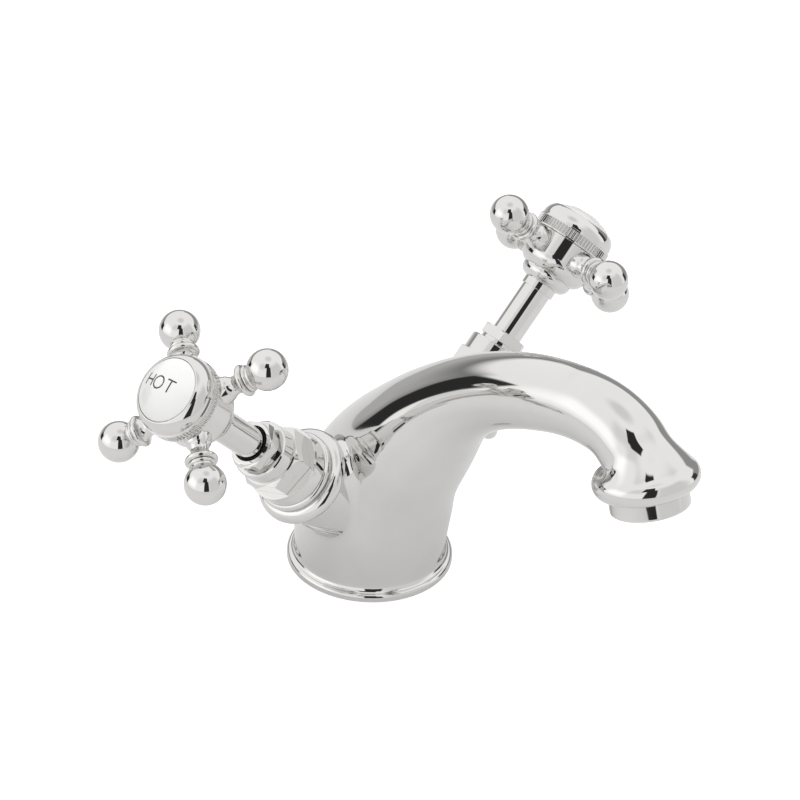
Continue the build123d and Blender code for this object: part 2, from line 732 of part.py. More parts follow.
        # a coved boss for each arm, drilled for the arm's shank
        for number in range(arms):
            with BuildSketch(arm_plane(side, number)):
                with BuildLine():
                    Polyline((0, arm_shank_start), (arm_boss_radius, arm_shank_start), (arm_boss_radius, hub_radius))
                    Spline(
                        (arm_boss_radius, hub_radius), (arm_foot_radius, arm_boss_reach),
                        tangents=[(-0.2, 1), (-0.4, 1)],
                    )
                    Polyline((arm_foot_radius, arm_boss_reach), (0, arm_boss_reach), (0, arm_shank_start))
                make_face()
            revolve(axis=arm_axis(side, number))
        for number in range(arms):
            with BuildSketch(arm_plane(side, number)):
                with BuildLine():
                    ring_outline(0, arm_shank_radius, arm_shank_start, arm_boss_reach)
                make_face()
            revolve(axis=arm_axis(side, number), mode=Mode.SUBTRACT)
        with BuildSketch(valve_plane(side, well_floor)):
            Circle(hub_well_radius)
        extrude(amount=spigot_face - well_floor, mode=Mode.SUBTRACT)
    save(hub, f"{side}_hub")

    for number in range(arms):
        with BuildPart() as arm:
            with BuildSketch(arm_plane(side, number)):
                with BuildLine():
                    ring_low = arm_ring_reach - arm_ring_width / 2
                    ring_high = arm_ring_reach + arm_ring_width / 2
                    ring_core = arm_ring_radius - arm_ring_width / 2
                    bead_high = ring_high + arm_bead_width
                    bead_core = arm_bead_radius - arm_bead_width / 2
                    Polyline(
                        (0, arm_shank_start), (arm_shank_radius, arm_shank_start),
                        (arm_shank_radius, arm_boss_reach), (arm_foot_radius, arm_boss_reach),
                    )
                    Spline(
                        (arm_foot_radius, arm_boss_reach), (arm_neck_radius, arm_boss_reach + arm_neck_rise),
                        (ring_core, ring_low), tangents=[(-0.8, 1), (1, 0.5)],
                    )
                    ThreePointArc(
                        (ring_core, ring_low), (arm_ring_radius, arm_ring_reach), (ring_core, ring_high),
                    )
                    Line((ring_core, ring_high), (bead_core, ring_high))
                    ThreePointArc(
                        (bead_core, ring_high), (arm_bead_radius, (ring_high + bead_high) / 2),
                        (bead_core, bead_high),
                    )
                    Polyline(
                        (bead_core, bead_high), (bead_core, ball_reach), (0, ball_reach), (0, arm_shank_start),
                    )
                make_face()
            revolve(axis=arm_axis(side, number))
            with Locations(arm_plane(side, number).origin + arm_plane(side, number).y_dir * ball_reach):
                Sphere(ball_radius)
        save(arm, f"{side}_arm_{number + 1}")

    with BuildPart() as bezel:
        with BuildSketch(section_plane(side)):
            with BuildLine():
                bore = spigot_top_radius + static_clearance
                mill_top = hub_face + mill_height
                Polyline(
                    (bore, hub_face), (bezel_radius, hub_face), (bezel_radius, mill_top),
                    (bezel_dome_radius, mill_top), (bezel_dome_radius, mill_top + bezel_shoulder),
                )
                Spline(
                    (bezel_dome_radius, mill_top + bezel_shoulder), (bezel_mouth_radius + bezel_brow, bezel_top),
                    tangents=[(0, 1), (-1, 0.6)],
                )
                Polyline(
                    (bezel_mouth_radius + bezel_brow, bezel_top), (bezel_mouth_radius, bezel_top),
                    (bezel_mouth_radius, hub_face + bezel_lip_under), (bore, hub_face + bezel_lip_under),
                    (bore, hub_face),
                )
            make_face()
        revolve(axis=axis)
        # coin edge between two plain borders
        with BuildSketch(valve_plane(side, hub_face + mill_border)):
            with PolarLocations(bezel_radius, mill_grooves):
                Circle(mill_depth)
        extrude(amount=mill_height - 2 * mill_border, mode=Mode.SUBTRACT)
    save(bezel, f"{side}_bezel")

    with BuildPart() as index:
        with BuildSketch(section_plane(side)):
            with BuildLine():
                Polyline(
                    (0, index_side_top + index_rise), (0, spigot_face), (index_flange_radius, spigot_face),
                    (index_flange_radius, index_flange_top), (index_radius, index_flange_top),
                    (index_radius, index_side_top),
                )
                dome_radius = (index_radius ** 2 + index_rise ** 2) / (2 * index_rise)
                dome_half = index_radius / 2
                dome_drop = dome_radius - sqrt(dome_radius ** 2 - dome_half ** 2)
                ThreePointArc(
                    (index_radius, index_side_top), (dome_half, index_side_top + index_rise - dome_drop),
                    (0, index_side_top + index_rise),
                )
            make_face()
        revolve(axis=axis)
    save(index, f"{side}_index")

    with BuildPart() as handle_screw:
        with BuildSketch(valve_plane(side, well_floor)):
            Circle(screw_head_radius)
        extrude(amount=screw_head_height)
        with BuildSketch(valve_plane(side, well_floor)):
            Circle(screw_shank_radius)
        extrude(amount=spindle_top - well_floor - screw_length + screw_end_gap)
        with BuildSketch(valve_plane(side, well_floor + screw_head_height)):
            RegularPolygon(screw_socket / 2, 6, major_radius=False)
        extrude(amount=-screw_head_height + screw_end_gap, mode=Mode.SUBTRACT)
    save(handle_screw, f"{side}_handle_screw")
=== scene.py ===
"""Dresses a one-hole basin mixer: chrome casting, two leaning quarter-turn valves and cross handles."""
import json
import logging
from dataclasses import dataclass
from enum import Enum
from math import acos, atan2, cos, pi, radians, sin, tan
from typing import Callable, Sequence

import bpy
import numpy as np
from mathutils import Matrix


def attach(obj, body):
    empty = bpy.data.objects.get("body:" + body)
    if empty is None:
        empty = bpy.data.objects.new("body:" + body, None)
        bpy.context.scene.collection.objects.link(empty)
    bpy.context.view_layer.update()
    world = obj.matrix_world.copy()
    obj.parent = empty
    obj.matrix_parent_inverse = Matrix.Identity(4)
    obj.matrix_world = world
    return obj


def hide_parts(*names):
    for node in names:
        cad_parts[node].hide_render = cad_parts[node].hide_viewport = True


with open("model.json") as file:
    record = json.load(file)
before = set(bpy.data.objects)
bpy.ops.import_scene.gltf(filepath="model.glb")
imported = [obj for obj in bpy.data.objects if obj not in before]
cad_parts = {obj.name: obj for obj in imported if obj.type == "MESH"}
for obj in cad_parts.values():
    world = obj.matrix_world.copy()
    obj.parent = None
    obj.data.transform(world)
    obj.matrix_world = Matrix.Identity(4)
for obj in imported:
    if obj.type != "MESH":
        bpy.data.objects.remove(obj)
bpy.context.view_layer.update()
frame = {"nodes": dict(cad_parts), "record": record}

Array = np.ndarray
Curve = Callable[[Array], tuple[Array, Array]]
Material = bpy.types.Material
Object = bpy.types.Object
log = logging.getLogger("basin_mixer")

MM = 0.001
EDGE = 0.12        # mm, how far a machined edge is eased
MERGED = 1e-9      # mm, below which points count as one
FOOT_ROUND = 144   # columns round the casting
VALVE_ROUND = 96   # round a valve
ARM_ROUND = 64     # round an arm
BALL_ROUND = 80    # round a handle ball
RIM = sin(pi / 4)  # share of a radius at the middle of a quarter round
BUMP_DEPTH = 0.05  # mm, the full height of a finish's grain


# ------------------------------------------------------------------ colour and nodes
def linear(code: str) -> tuple[float, float, float, float]:
    """Turns sRGB hex to linear light: (c + 0.055) / 1.055 to the power 2.4, or c / 12.92 near black.

    Args:
        code: six hex digits, such as "c8cbd0".

    Returns:
        Red, green, blue and an alpha of one.
    """
    values = np.array([int(code[i:i + 2], 16) for i in (0, 2, 4)]) / 255
    light = np.where(values <= 0.04045, values / 12.92, ((values + 0.055) / 1.055) ** 2.4)
    return (float(light[0]), float(light[1]), float(light[2]), 1.0)


def node(
    tree: bpy.types.NodeTree, kind: str, settings: dict | None = None, links: dict | None = None,
) -> bpy.types.Node:
    """Adds a node with its settings and links.

    Args:
        tree: the node tree it goes in.
        kind: the node's type, such as "ShaderNodeTexNoise".
        settings: attribute values by name, or socket values by socket name or number.
        links: output sockets by the input's name or number.

    Returns:
        The new node.
    """
    made = tree.nodes.new(kind)
    for key, value in (settings or {}).items():
        if isinstance(key, str) and hasattr(made, key):
            setattr(made, key, value)
        else:
            made.inputs[key].default_value = value
    for key, source in (links or {}).items():
        tree.links.new(source, made.inputs[key])
    return made


def new_material(name: str) -> tuple[Material, bpy.types.NodeTree, bpy.types.NodeSocket]:
    """Starts a material with an empty tree.

    Args:
        name: the finish's name.

    Returns:
        The material, its tree, and its object coordinates.
    """
    material = bpy.data.materials.new(name)
    material.use_nodes = True
    tree = material.node_tree
    tree.nodes.clear()
    place = node(tree, "ShaderNodeTexCoord")
    return material, tree, place.outputs["Object"]


# ------------------------------------------------------------------ finishes
@dataclass(frozen=True)
class PolishedPlate:
    """Bright chrome over nickel on polished brass: a neutral mirror with faint wipe marks and orange peel."""

    name: str = "polished_chrome_plate"
    bright: str = "e2e1df"
    dull: str = "d9d8d6"
    rough_low: float = 0.025
    rough_high: float = 0.06
    wipe_mm: float = 16.0    # size of a wiped patch
    peel_mm: float = 1.6     # pitch of the orange peel, coarser than the real 0.3 mm so that it can show
    peel_depth: float = 0.012

    def build(self) -> Material:
        """Makes the finish: slow noise moves colour and roughness a little, and quick noise is the bump."""
        material, tree, place = new_material(self.name)
        wipe = node(
            tree, "ShaderNodeTexNoise", {"Scale": 1 / (self.wipe_mm * MM), "Detail": 3.0, "Distortion": 0.6},
            {"Vector": place},
        )
        tint = node(
            tree, "ShaderNodeMix", {"data_type": "RGBA", 6: linear(self.bright), 7: linear(self.dull)},
            {0: wipe.outputs["Fac"]},
        )
        rough = node(
            tree, "ShaderNodeMapRange",
            {"From Min": 0.3, "From Max": 0.7, "To Min": self.rough_low, "To Max": self.rough_high},
            {"Value": wipe.outputs["Fac"]},
        )
        peel = node(
            tree, "ShaderNodeTexNoise", {"Scale": 1 / (self.peel_mm * MM), "Detail": 1.0}, {"Vector": place},
        )
        bump = node(
            tree, "ShaderNodeBump", {"Strength": self.peel_depth, "Distance": BUMP_DEPTH * MM},
            {"Height": peel.outputs["Fac"]},
        )
        shader = node(
            tree, "ShaderNodeBsdfPrincipled", {"Metallic": 1.0},
            {"Base Color": tint.outputs[2], "Roughness": rough.outputs[0], "Normal": bump.outputs[0]},
        )
        node(tree, "ShaderNodeOutputMaterial", links={"Surface": shader.outputs[0]})
        return material


@dataclass(frozen=True)
class CoatedSolid:
    """A dense non-metal with mottled colour and a grain: glazed ceramic, moulded rubber, acetal or enamel."""

    name: str
    light: str
    dark: str
    mottle_mm: float
    rough_low: float
    rough_high: float
    grain_mm: float
    grain_depth: float
    ior: float = 1.5
    coat: float = 0.0
    coat_rough: float = 0.03

    def build(self) -> Material:
        """Makes the finish: slow noise mixes the two colours and roughness, quick noise raises the grain."""
        material, tree, place = new_material(self.name)
        mottle = node(
            tree, "ShaderNodeTexNoise", {"Scale": 1 / (self.mottle_mm * MM), "Detail": 4.0},
            {"Vector": place},
        )
        tint = node(
            tree, "ShaderNodeMix", {"data_type": "RGBA", 6: linear(self.light), 7: linear(self.dark)},
            {0: mottle.outputs["Fac"]},
        )
        rough = node(
            tree, "ShaderNodeMapRange", {"To Min": self.rough_low, "To Max": self.rough_high},
            {"Value": mottle.outputs["Fac"]},
        )
        grain = node(
            tree, "ShaderNodeTexNoise", {"Scale": 1 / (self.grain_mm * MM), "Detail": 2.0}, {"Vector": place},
        )
        bump = node(
            tree, "ShaderNodeBump", {"Strength": self.grain_depth, "Distance": BUMP_DEPTH * MM},
            {"Height": grain.outputs["Fac"]},
        )
        shader = node(
            tree, "ShaderNodeBsdfPrincipled",
            {"IOR": self.ior, "Coat Weight": self.coat, "Coat Roughness": self.coat_rough},
            {"Base Color": tint.outputs[2], "Roughness": rough.outputs[0], "Normal": bump.outputs[0]},
        )
        node(tree, "ShaderNodeOutputMaterial", links={"Surface": shader.outputs[0]})
        return material


@dataclass(frozen=True)
class TurnedMetal:
    """Bare turned or stamped metal: rings of fine tool marks, and a colour that dulls in patches."""

    name: str
    light: str
    dark: str
    mark_mm: float
    rough_low: float
    rough_high: float
    tarnish_mm: float = 6.0
    mark_strength: float = 0.15
    mark_depth: float = 0.02    # mm

    def build(self) -> Material:
        """Makes the finish: a ring wave gives the tool marks and slow noise the tarnish."""
        material, tree, place = new_material(self.name)
        tarnish = node(
            tree, "ShaderNodeTexNoise", {"Scale": 1 / (self.tarnish_mm * MM), "Detail": 3.0},
            {"Vector": place},
        )
        tint = node(
            tree, "ShaderNodeMix", {"data_type": "RGBA", 6: linear(self.light), 7: linear(self.dark)},
            {0: tarnish.outputs["Fac"]},
        )
        marks = node(
            tree, "ShaderNodeTexWave",
            {"wave_type": "RINGS", "Scale": 1 / (self.mark_mm * MM * 3), "Distortion": 1.5},
            {"Vector": place},
        )
        rough = node(
            tree, "ShaderNodeMapRange", {"To Min": self.rough_low, "To Max": self.rough_high},
            {"Value": marks.outputs["Fac"]},
        )
        bump = node(
            tree, "ShaderNodeBump", {"Strength": self.mark_strength, "Distance": self.mark_depth * MM},
            {"Height": marks.outputs["Fac"]},
        )
        shader = node(
            tree, "ShaderNodeBsdfPrincipled", {"Metallic": 1.0},
            {"Base Color": tint.outputs[2], "Roughness": rough.outputs[0], "Normal": bump.outputs[0]},
        )
        node(tree, "ShaderNodeOutputMaterial", links={"Surface": shader.outputs[0]})
        return material


# Glazed earthenware button: milky white under a clear glossy glaze, with the faintest waviness.
INDEX_GLAZE = CoatedSolid(
    "white_glazed_ceramic", "e4e4e3", "dddddc", 5.0, 0.16, 0.24, 2.0, 0.05, ior=1.52, coat=0.4,
)
# Fired letter enamel: flat charcoal that sinks a little into the glaze, slightly softer than black.
LETTER_ENAMEL = CoatedSolid("charcoal_letter_enamel", "2b2b2c", "39393a", 0.8, 0.30, 0.42, 0.4, 0.2)
# Moulded EPDM: near-black, matt, with a fine mould texture.
SEAL_RUBBER = CoatedSolid("black_moulded_rubber", "101010", "1c1c1c", 2.0, 0.5, 0.68, 0.5, 0.4)
# Lapped alumina: ivory white, dead flat and satin.
DISC_ALUMINA = CoatedSolid("lapped_alumina", "efece2", "dedacd", 3.0, 0.22, 0.34, 0.3, 0.1, ior=1.77)
# Moulded acetal: waxy off-white.
FLOW_ACETAL = CoatedSolid("moulded_acetal", "e4e3df", "d3d2cd", 3.0, 0.38, 0.5, 0.6, 0.2, ior=1.48)
# Turned free-cutting brass: warm yellow with tool rings.
TURNED_BRASS = TurnedMetal("turned_brass", "e0c184", "c09a58", 0.35, 0.2, 0.34)
# Stainless steel of clip and screw: grey, satin.
PLAIN_STEEL = TurnedMetal("plain_stainless_steel", "c3c4c6", "a7a9ac", 0.3, 0.24, 0.38)


# ------------------------------------------------------------------ profiles
def straight(start: tuple[float, float], end: tuple[float, float]) -> Curve:
    """A straight run of a profile: start plus t times the difference."""
    a, b = np.array(start, float), np.array(end, float)

    def at(t: Array) -> tuple[Array, Array]:
        """Points and directions at the shares t."""
        return a + t[:, None] * (b - a), np.tile(b - a, (len(t), 1))
    at.steps, at.length = 2, float(np.hypot(*(b - a)))
    return at


def bow(
    start: tuple[float, float], middle: tuple[float, float], end: tuple[float, float], steps: int = 12,
) -> Curve:
    """A circular run through three points: the centre is where the two chords' perpendicular bisectors meet.

    Args:
        start: first point, (radius, height).
        middle: any point of the arc between.
        end: last point.
        steps: rows along it.

    Returns:
        The run.
    """
    a, m, b = (np.array(p, float) for p in (start, middle, end))
    grid = 2 * np.array([m - a, b - a])
    centre = np.linalg.solve(grid, np.array([m @ m - a @ a, b @ b - a @ a]))
    first, mid, last = (atan2(*(p - centre)[::-1]) for p in (a, m, b))
    sweep = (last - first) % (2 * pi)
    if (mid - first) % (2 * pi) > sweep:
        sweep -= 2 * pi
    radius = float(np.hypot(*(a - centre)))

    def at(t: Array) -> tuple[Array, Array]:
        """Points and directions at the shares t."""
        angle = first + sweep * t
        spoke = np.stack([np.cos(angle), np.sin(angle)], 1)
        return centre + radius * spoke, np.stack([-spoke[:, 1], spoke[:, 0]], 1) * np.sign(sweep)
    at.steps, at.length = steps, abs(sweep) * radius
    return at


def blend_run(
    start: tuple[float, float], leave: tuple[float, float], end: tuple[float, float],
    arrive: tuple[float, float], steps: int = 12,
) -> Curve:
    """A cubic Hermite run that leaves and arrives in given directions, each scaled to the chord."""
    a, b = np.array(start, float), np.array(end, float)
    chord = float(np.hypot(*(b - a)))
    u, v = (np.array(d, float) / np.hypot(*d) * chord for d in (leave, arrive))

    def at(t: Array) -> tuple[Array, Array]:
        """Points and directions at the shares t."""
        t = t[:, None]
        point = (2 * t**3 - 3 * t**2 + 1) * a + (t**3 - 2 * t**2 + t) * u + (
            3 * t**2 - 2 * t**3
        ) * b + (t**3 - t**2) * v
        slope = (6 * t**2 - 6 * t) * (a - b) + (3 * t**2 - 4 * t + 1) * u + (3 * t**2 - 2 * t) * v
        return point, slope
    at.steps, at.length = steps, chord
    return at


def path_runs(*corners: tuple[float, float]) -> list[Curve]:
    """Straight runs from corner to corner."""
    return [straight(a, b) for a, b in zip(corners, corners[1:])]


def profile(runs: Sequence[Curve], edge: float = EDGE) -> tuple[Array, Array]:
    """Joins runs into rows: a run stops short of its corners, and the strip between two is the eased edge.

    Args:
        runs: the runs in order.
        edge: how far each stops short, in mm.

    Returns:
        Points (rows, 2) and unit directions (rows, 2).
    """
    points, along = [], []
    for run in runs:
        ends = run(np.array([0.0, 1.0]))[0]
        trim = min(edge / run.length, 0.3)
        low = 0.0 if ends[0, 0] < MERGED else trim
        high = 1.0 if ends[1, 0] < MERGED else 1 - trim
        where, way = run(np.linspace(low, high, run.steps))
        points.append(where)
        along.append(way / np.linalg.norm(way, axis=1, keepdims=True))
    return np.vstack(points), np.vstack(along)


# ------------------------------------------------------------------ surfaces
@dataclass
class Surface:
    """A grid of points with the direction of travel down its rows, closed round its columns."""

    points: Array
    along: Array
    around: Array | None = None
    looped: bool = False   # whether the last row runs back into the first

    def normals(self) -> Array:
        """Unit normals: the cross product of the grid's directions, borrowed from the next row at a pole."""
        around = self.around
        if around is None:
            around = np.roll(self.points, -1, 1) - np.roll(self.points, 1, 1)
        normal = np.cross(around, self.along)
        size = np.linalg.norm(normal, axis=2, keepdims=True)
        normal = normal / np.maximum(size, 1e-12)
        for row, near in ((0, 1), (-1, -2)):
            if np.ptp(self.points[row], axis=0).max() < MERGED:
                mean = normal[near].mean(0)
                normal[row] = mean / np.linalg.norm(mean)
        return normal


@dataclass(frozen=True)
class Seat:
    """A right-handed frame that a turned surface is placed by: its axis and two directions across it."""

    origin: Array
    across: Array
    forward: Array
    axis: Array

    def turned(self, points: Array, along: Array, columns: int, looped: bool = False) -> Surface:
        """Turns a profile about the axis: origin + r cos(a) across + r sin(a) forward + h axis.

        Args:
            points: (radius, height) rows.
            along: their directions.
            columns: how many steps round.
            looped: whether the profile is a closed ring.

        Returns:
            The surface.
        """
        angle = np.arange(columns) * 2 * pi / columns
        spoke = np.cos(angle)[:, None] * self.across + np.sin(angle)[:, None] * self.forward
        rows = self.origin + points[:, 0, None, None] * spoke + points[:, 1, None, None] * self.axis
        ways = along[:, 0, None, None] * spoke + along[:, 1, None, None] * self.axis
        swing = -np.sin(angle)[:, None] * self.across + np.cos(angle)[:, None] * self.forward
        return Surface(rows, ways, np.broadcast_to(swing, rows.shape), looped)


def add_piece(name: str, surfaces: Sequence[Surface], material: Material, body: str) -> Object:
    """Makes one closed mesh from grids, facing outwards, with the surfaces' own normals.

    Each grid cell is a quad; a row whose points all meet is one vertex with a fan of triangles. The sign of
    the volume, the sum of a . (b x c) / 6 over the triangles, says whether a grid is turned inside out.

    Args:
        name: the piece's name.
        surfaces: its grids, in mm.
        material: its finish.
        body: the body that it rides on.

    Returns:
        The new object.
    """
    points, normals, faces, base = [], [], [], 0
    for surface in surfaces:
        rows, columns = surface.points.shape[:2]
        where, normal = surface.points.reshape(-1, 3), surface.normals().reshape(-1, 3)
        index = np.arange(rows * columns).reshape(rows, columns)
        poles = [np.ptp(surface.points[row], axis=0).max() < MERGED for row in range(rows)]
        index[poles] = index[poles, :1]
        rolled = np.roll(index, -1, 1)
        last = rows if surface.looped else rows - 1
        below = (np.arange(last) + 1) % rows
        quads = np.stack([index[:last], rolled[:last], rolled[below], index[below]], 2).reshape(-1, 4)
        a, b, c, d = (where[quads[:, i]] for i in range(4))
        volume = np.einsum("ij,ij->", a, np.cross(b, c)) + np.einsum("ij,ij->", a, np.cross(c, d))
        if volume < 0:
            quads = quads[:, ::-1]
        flat = np.cross(where[quads[:, 2]] - where[quads[:, 0]], where[quads[:, 3]] - where[quads[:, 1]])
        if np.einsum("ij,ij->", flat, normal[quads[:, 0]]) < 0:
            normal = -normal
        used = np.unique(quads)
        new = np.zeros(rows * columns, int)
        new[used] = np.arange(len(used))
        quads = new[quads] + base
        first = quads[:, 0] == quads[:, 1]
        third = quads[:, 2] == quads[:, 3]
        cross = quads[:, 1] == quads[:, 2]
        outer = quads[:, 3] == quads[:, 0]
        whole = ~(first | third | cross | outer)
        faces += quads[whole].tolist()
        faces += quads[first & ~third][:, [1, 2, 3]].tolist()
        faces += quads[third & ~first][:, [0, 1, 2]].tolist()
        faces += quads[cross & ~outer][:, [0, 1, 3]].tolist()
        faces += quads[outer & ~cross][:, [0, 1, 2]].tolist()
        points.append(where[used])
        normals.append(normal[used])
        base += len(used)
    mesh = bpy.data.meshes.new(name)
    mesh.from_pydata((np.vstack(points) * MM).tolist(), [], faces)
    mesh.polygons.foreach_set("use_smooth", np.ones(len(faces), bool))
    mesh.normals_split_custom_set_from_vertices(np.vstack(normals).tolist())
    mesh.materials.append(material)
    piece = bpy.data.objects.new(name, mesh)
    bpy.context.scene.collection.objects.link(piece)
    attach(piece, body)
    log.info("%s: %d vertices, %d faces on %s", name, len(mesh.vertices), len(faces), body)
    return piece


def hexagon(
    seat: Seat, apothem: float, low: float, high: float, cap: Callable[[Array], Array], cap_end: float,
    inner: float, turn: float,
) -> Surface:
    """A hexagon whose top is turned off by a surface of revolution.

    A flat's distance from the axis is apothem / cos(angle from the flat's middle). The side rises to the cap's
    height at that distance, then rows run in over the cap to cap_end, and the shell closes down its bore.

    Args:
        seat: the valve's frame.
        apothem: half the size across the flats.
        low: height of its underside.
        high: height of its flat top.
        cap: the turned-off top's height at a distance from the axis.
        cap_end: distance where the cap meets the flat top.
        inner: radius of the bore.
        turn: degrees from the frame's first direction to the middle of a flat.

    Returns:
        The surface.
    """
    half = pi / 6
    ease = EDGE / apothem * cos(half) ** 2
    local = np.concatenate([[-half + ease], np.linspace(-half + 0.04, half - 0.04, 12), [half - ease]])
    side = np.repeat(np.arange(6), len(local))
    offset = np.tile(local, 6)
    middle = radians(turn) + side * pi / 3
    angle = middle + offset
    reach = apothem / np.cos(offset)
    spoke = np.cos(angle)[:, None] * seat.across + np.sin(angle)[:, None] * seat.forward
    swing = -np.sin(angle)[:, None] * seat.across + np.cos(angle)[:, None] * seat.forward
    flat_way = -np.sin(middle)[:, None] * seat.across + np.cos(middle)[:, None] * seat.forward
    rows, ways, round_ways = [], [], []

    def row(radius: Array, height: Array, out: Array | float, up: Array | float, way: Array) -> None:
        """Adds a row at those distances and heights, travelling out and up."""
        rows.append(seat.origin + radius[:, None] * spoke + height[:, None] * seat.axis)
        ways.append(
            np.broadcast_to(np.asarray(out), radius.shape)[:, None] * spoke + np.broadcast_to(
                np.asarray(up), radius.shape,
            )[:, None] * seat.axis,
        )
        round_ways.append(way)
    one = np.ones(len(angle))
    row(inner * one, low * one, 1.0, 0.0, swing)
    row(reach - EDGE, low * one, 1.0, 0.0, swing)
    row(reach, (low + EDGE) * one, 0.0, 1.0, flat_way)
    row(reach, cap(reach) - EDGE / 2, 0.0, 1.0, flat_way)
    for share in np.linspace(0.0, 1.0, 9):
        radius = reach + (cap_end - reach) * (0.06 + 0.94 * share)
        slope = (cap(radius - 0.01) - cap(radius + 0.01)) / 0.02
        row(radius, cap(radius), -1.0, slope, swing)
    row((cap_end - EDGE) * one, high * one, -1.0, 0.0, swing)
    row((inner + EDGE) * one, high * one, -1.0, 0.0, swing)
    row(inner * one, (high - EDGE) * one, 0.0, -1.0, swing)
    return Surface(np.array(rows), np.array(ways), np.array(round_ways), True)


def spline_through(
    knots: Array, values: Array, start: Array | None = None, end: Array | None = None,
) -> Curve:
    """Cubic spline through values at knots: its slopes solve the equal-curvature equations.

    Args:
        knots: rising parameters.
        values: (knots, dimensions).
        start: slope at the first knot, or None for a free end.
        end: slope at the last knot, or None for a free end.

    Returns:
        A function from parameters to points and slopes.
    """
    count, gap = len(knots), np.diff(knots)
    matrix, right = np.zeros((count, count)), np.zeros_like(values)
    rate = np.diff(values, axis=0) / gap[:, None]
    inside = np.arange(1, count - 1)
    matrix[inside, inside - 1] = 1 / gap[:-1]
    matrix[inside, inside] = 2 / gap[:-1] + 2 / gap[1:]
    matrix[inside, inside + 1] = 1 / gap[1:]
    right[inside] = 3 * (rate[:-1] / gap[:-1, None] + rate[1:] / gap[1:, None])
    for row, side, slope, step in ((0, 1, start, 0), (count - 1, count - 2, end, -1)):
        matrix[row, row] = 1.0 if slope is not None else 2 / gap[step]
        matrix[row, side] = 0.0 if slope is not None else 1 / gap[step]
        right[row] = slope if slope is not None else 3 * rate[step] / gap[step]
    slopes = np.linalg.solve(matrix, right)

    def at(t: Array) -> tuple[Array, Array]:
        """Points and slopes at the parameters t, by the Hermite form of each piece."""
        k = np.clip(np.searchsorted(knots, t) - 1, 0, count - 2)
        h = gap[k][:, None]
        x = ((t - knots[k])[:, None]) / h
        a, b, u, v = values[k], values[k + 1], slopes[k] * h, slopes[k + 1] * h
        point = (2 * x**3 - 3 * x**2 + 1) * a + (x**3 - 2 * x**2 + x) * u + (
            3 * x**2 - 2 * x**3
        ) * b + (x**3 - x**2) * v
        slope = ((6 * x**2 - 6 * x) * (a - b) + (3 * x**2 - 4 * x + 1) * u + (3 * x**2 - 2 * x) * v) / h
        return point, slope
    return at


# ------------------------------------------------------------------ the two sides
class Side(Enum):
    """Which valve: hot leans to the left, cold to the right."""

    HOT = "hot"
    COLD = "cold"

    @property
    def sign(self) -> int:
        """-1 for hot, 1 for cold."""
        return -1 if self is Side.HOT else 1


LEAN = radians(45.0)
VALVE_ROOT = np.array([0.0, -3.15, 13.6])


def valve_seat(side: Side) -> Seat:
    """The frame of a valve's axis: it leans outwards by LEAN from where both axes cross."""
    axis = np.array([side.sign * sin(LEAN), 0.0, cos(LEAN)])
    forward = np.array([0.0, 1.0, 0.0])
    return Seat(VALVE_ROOT, np.cross(forward, axis), forward, axis)


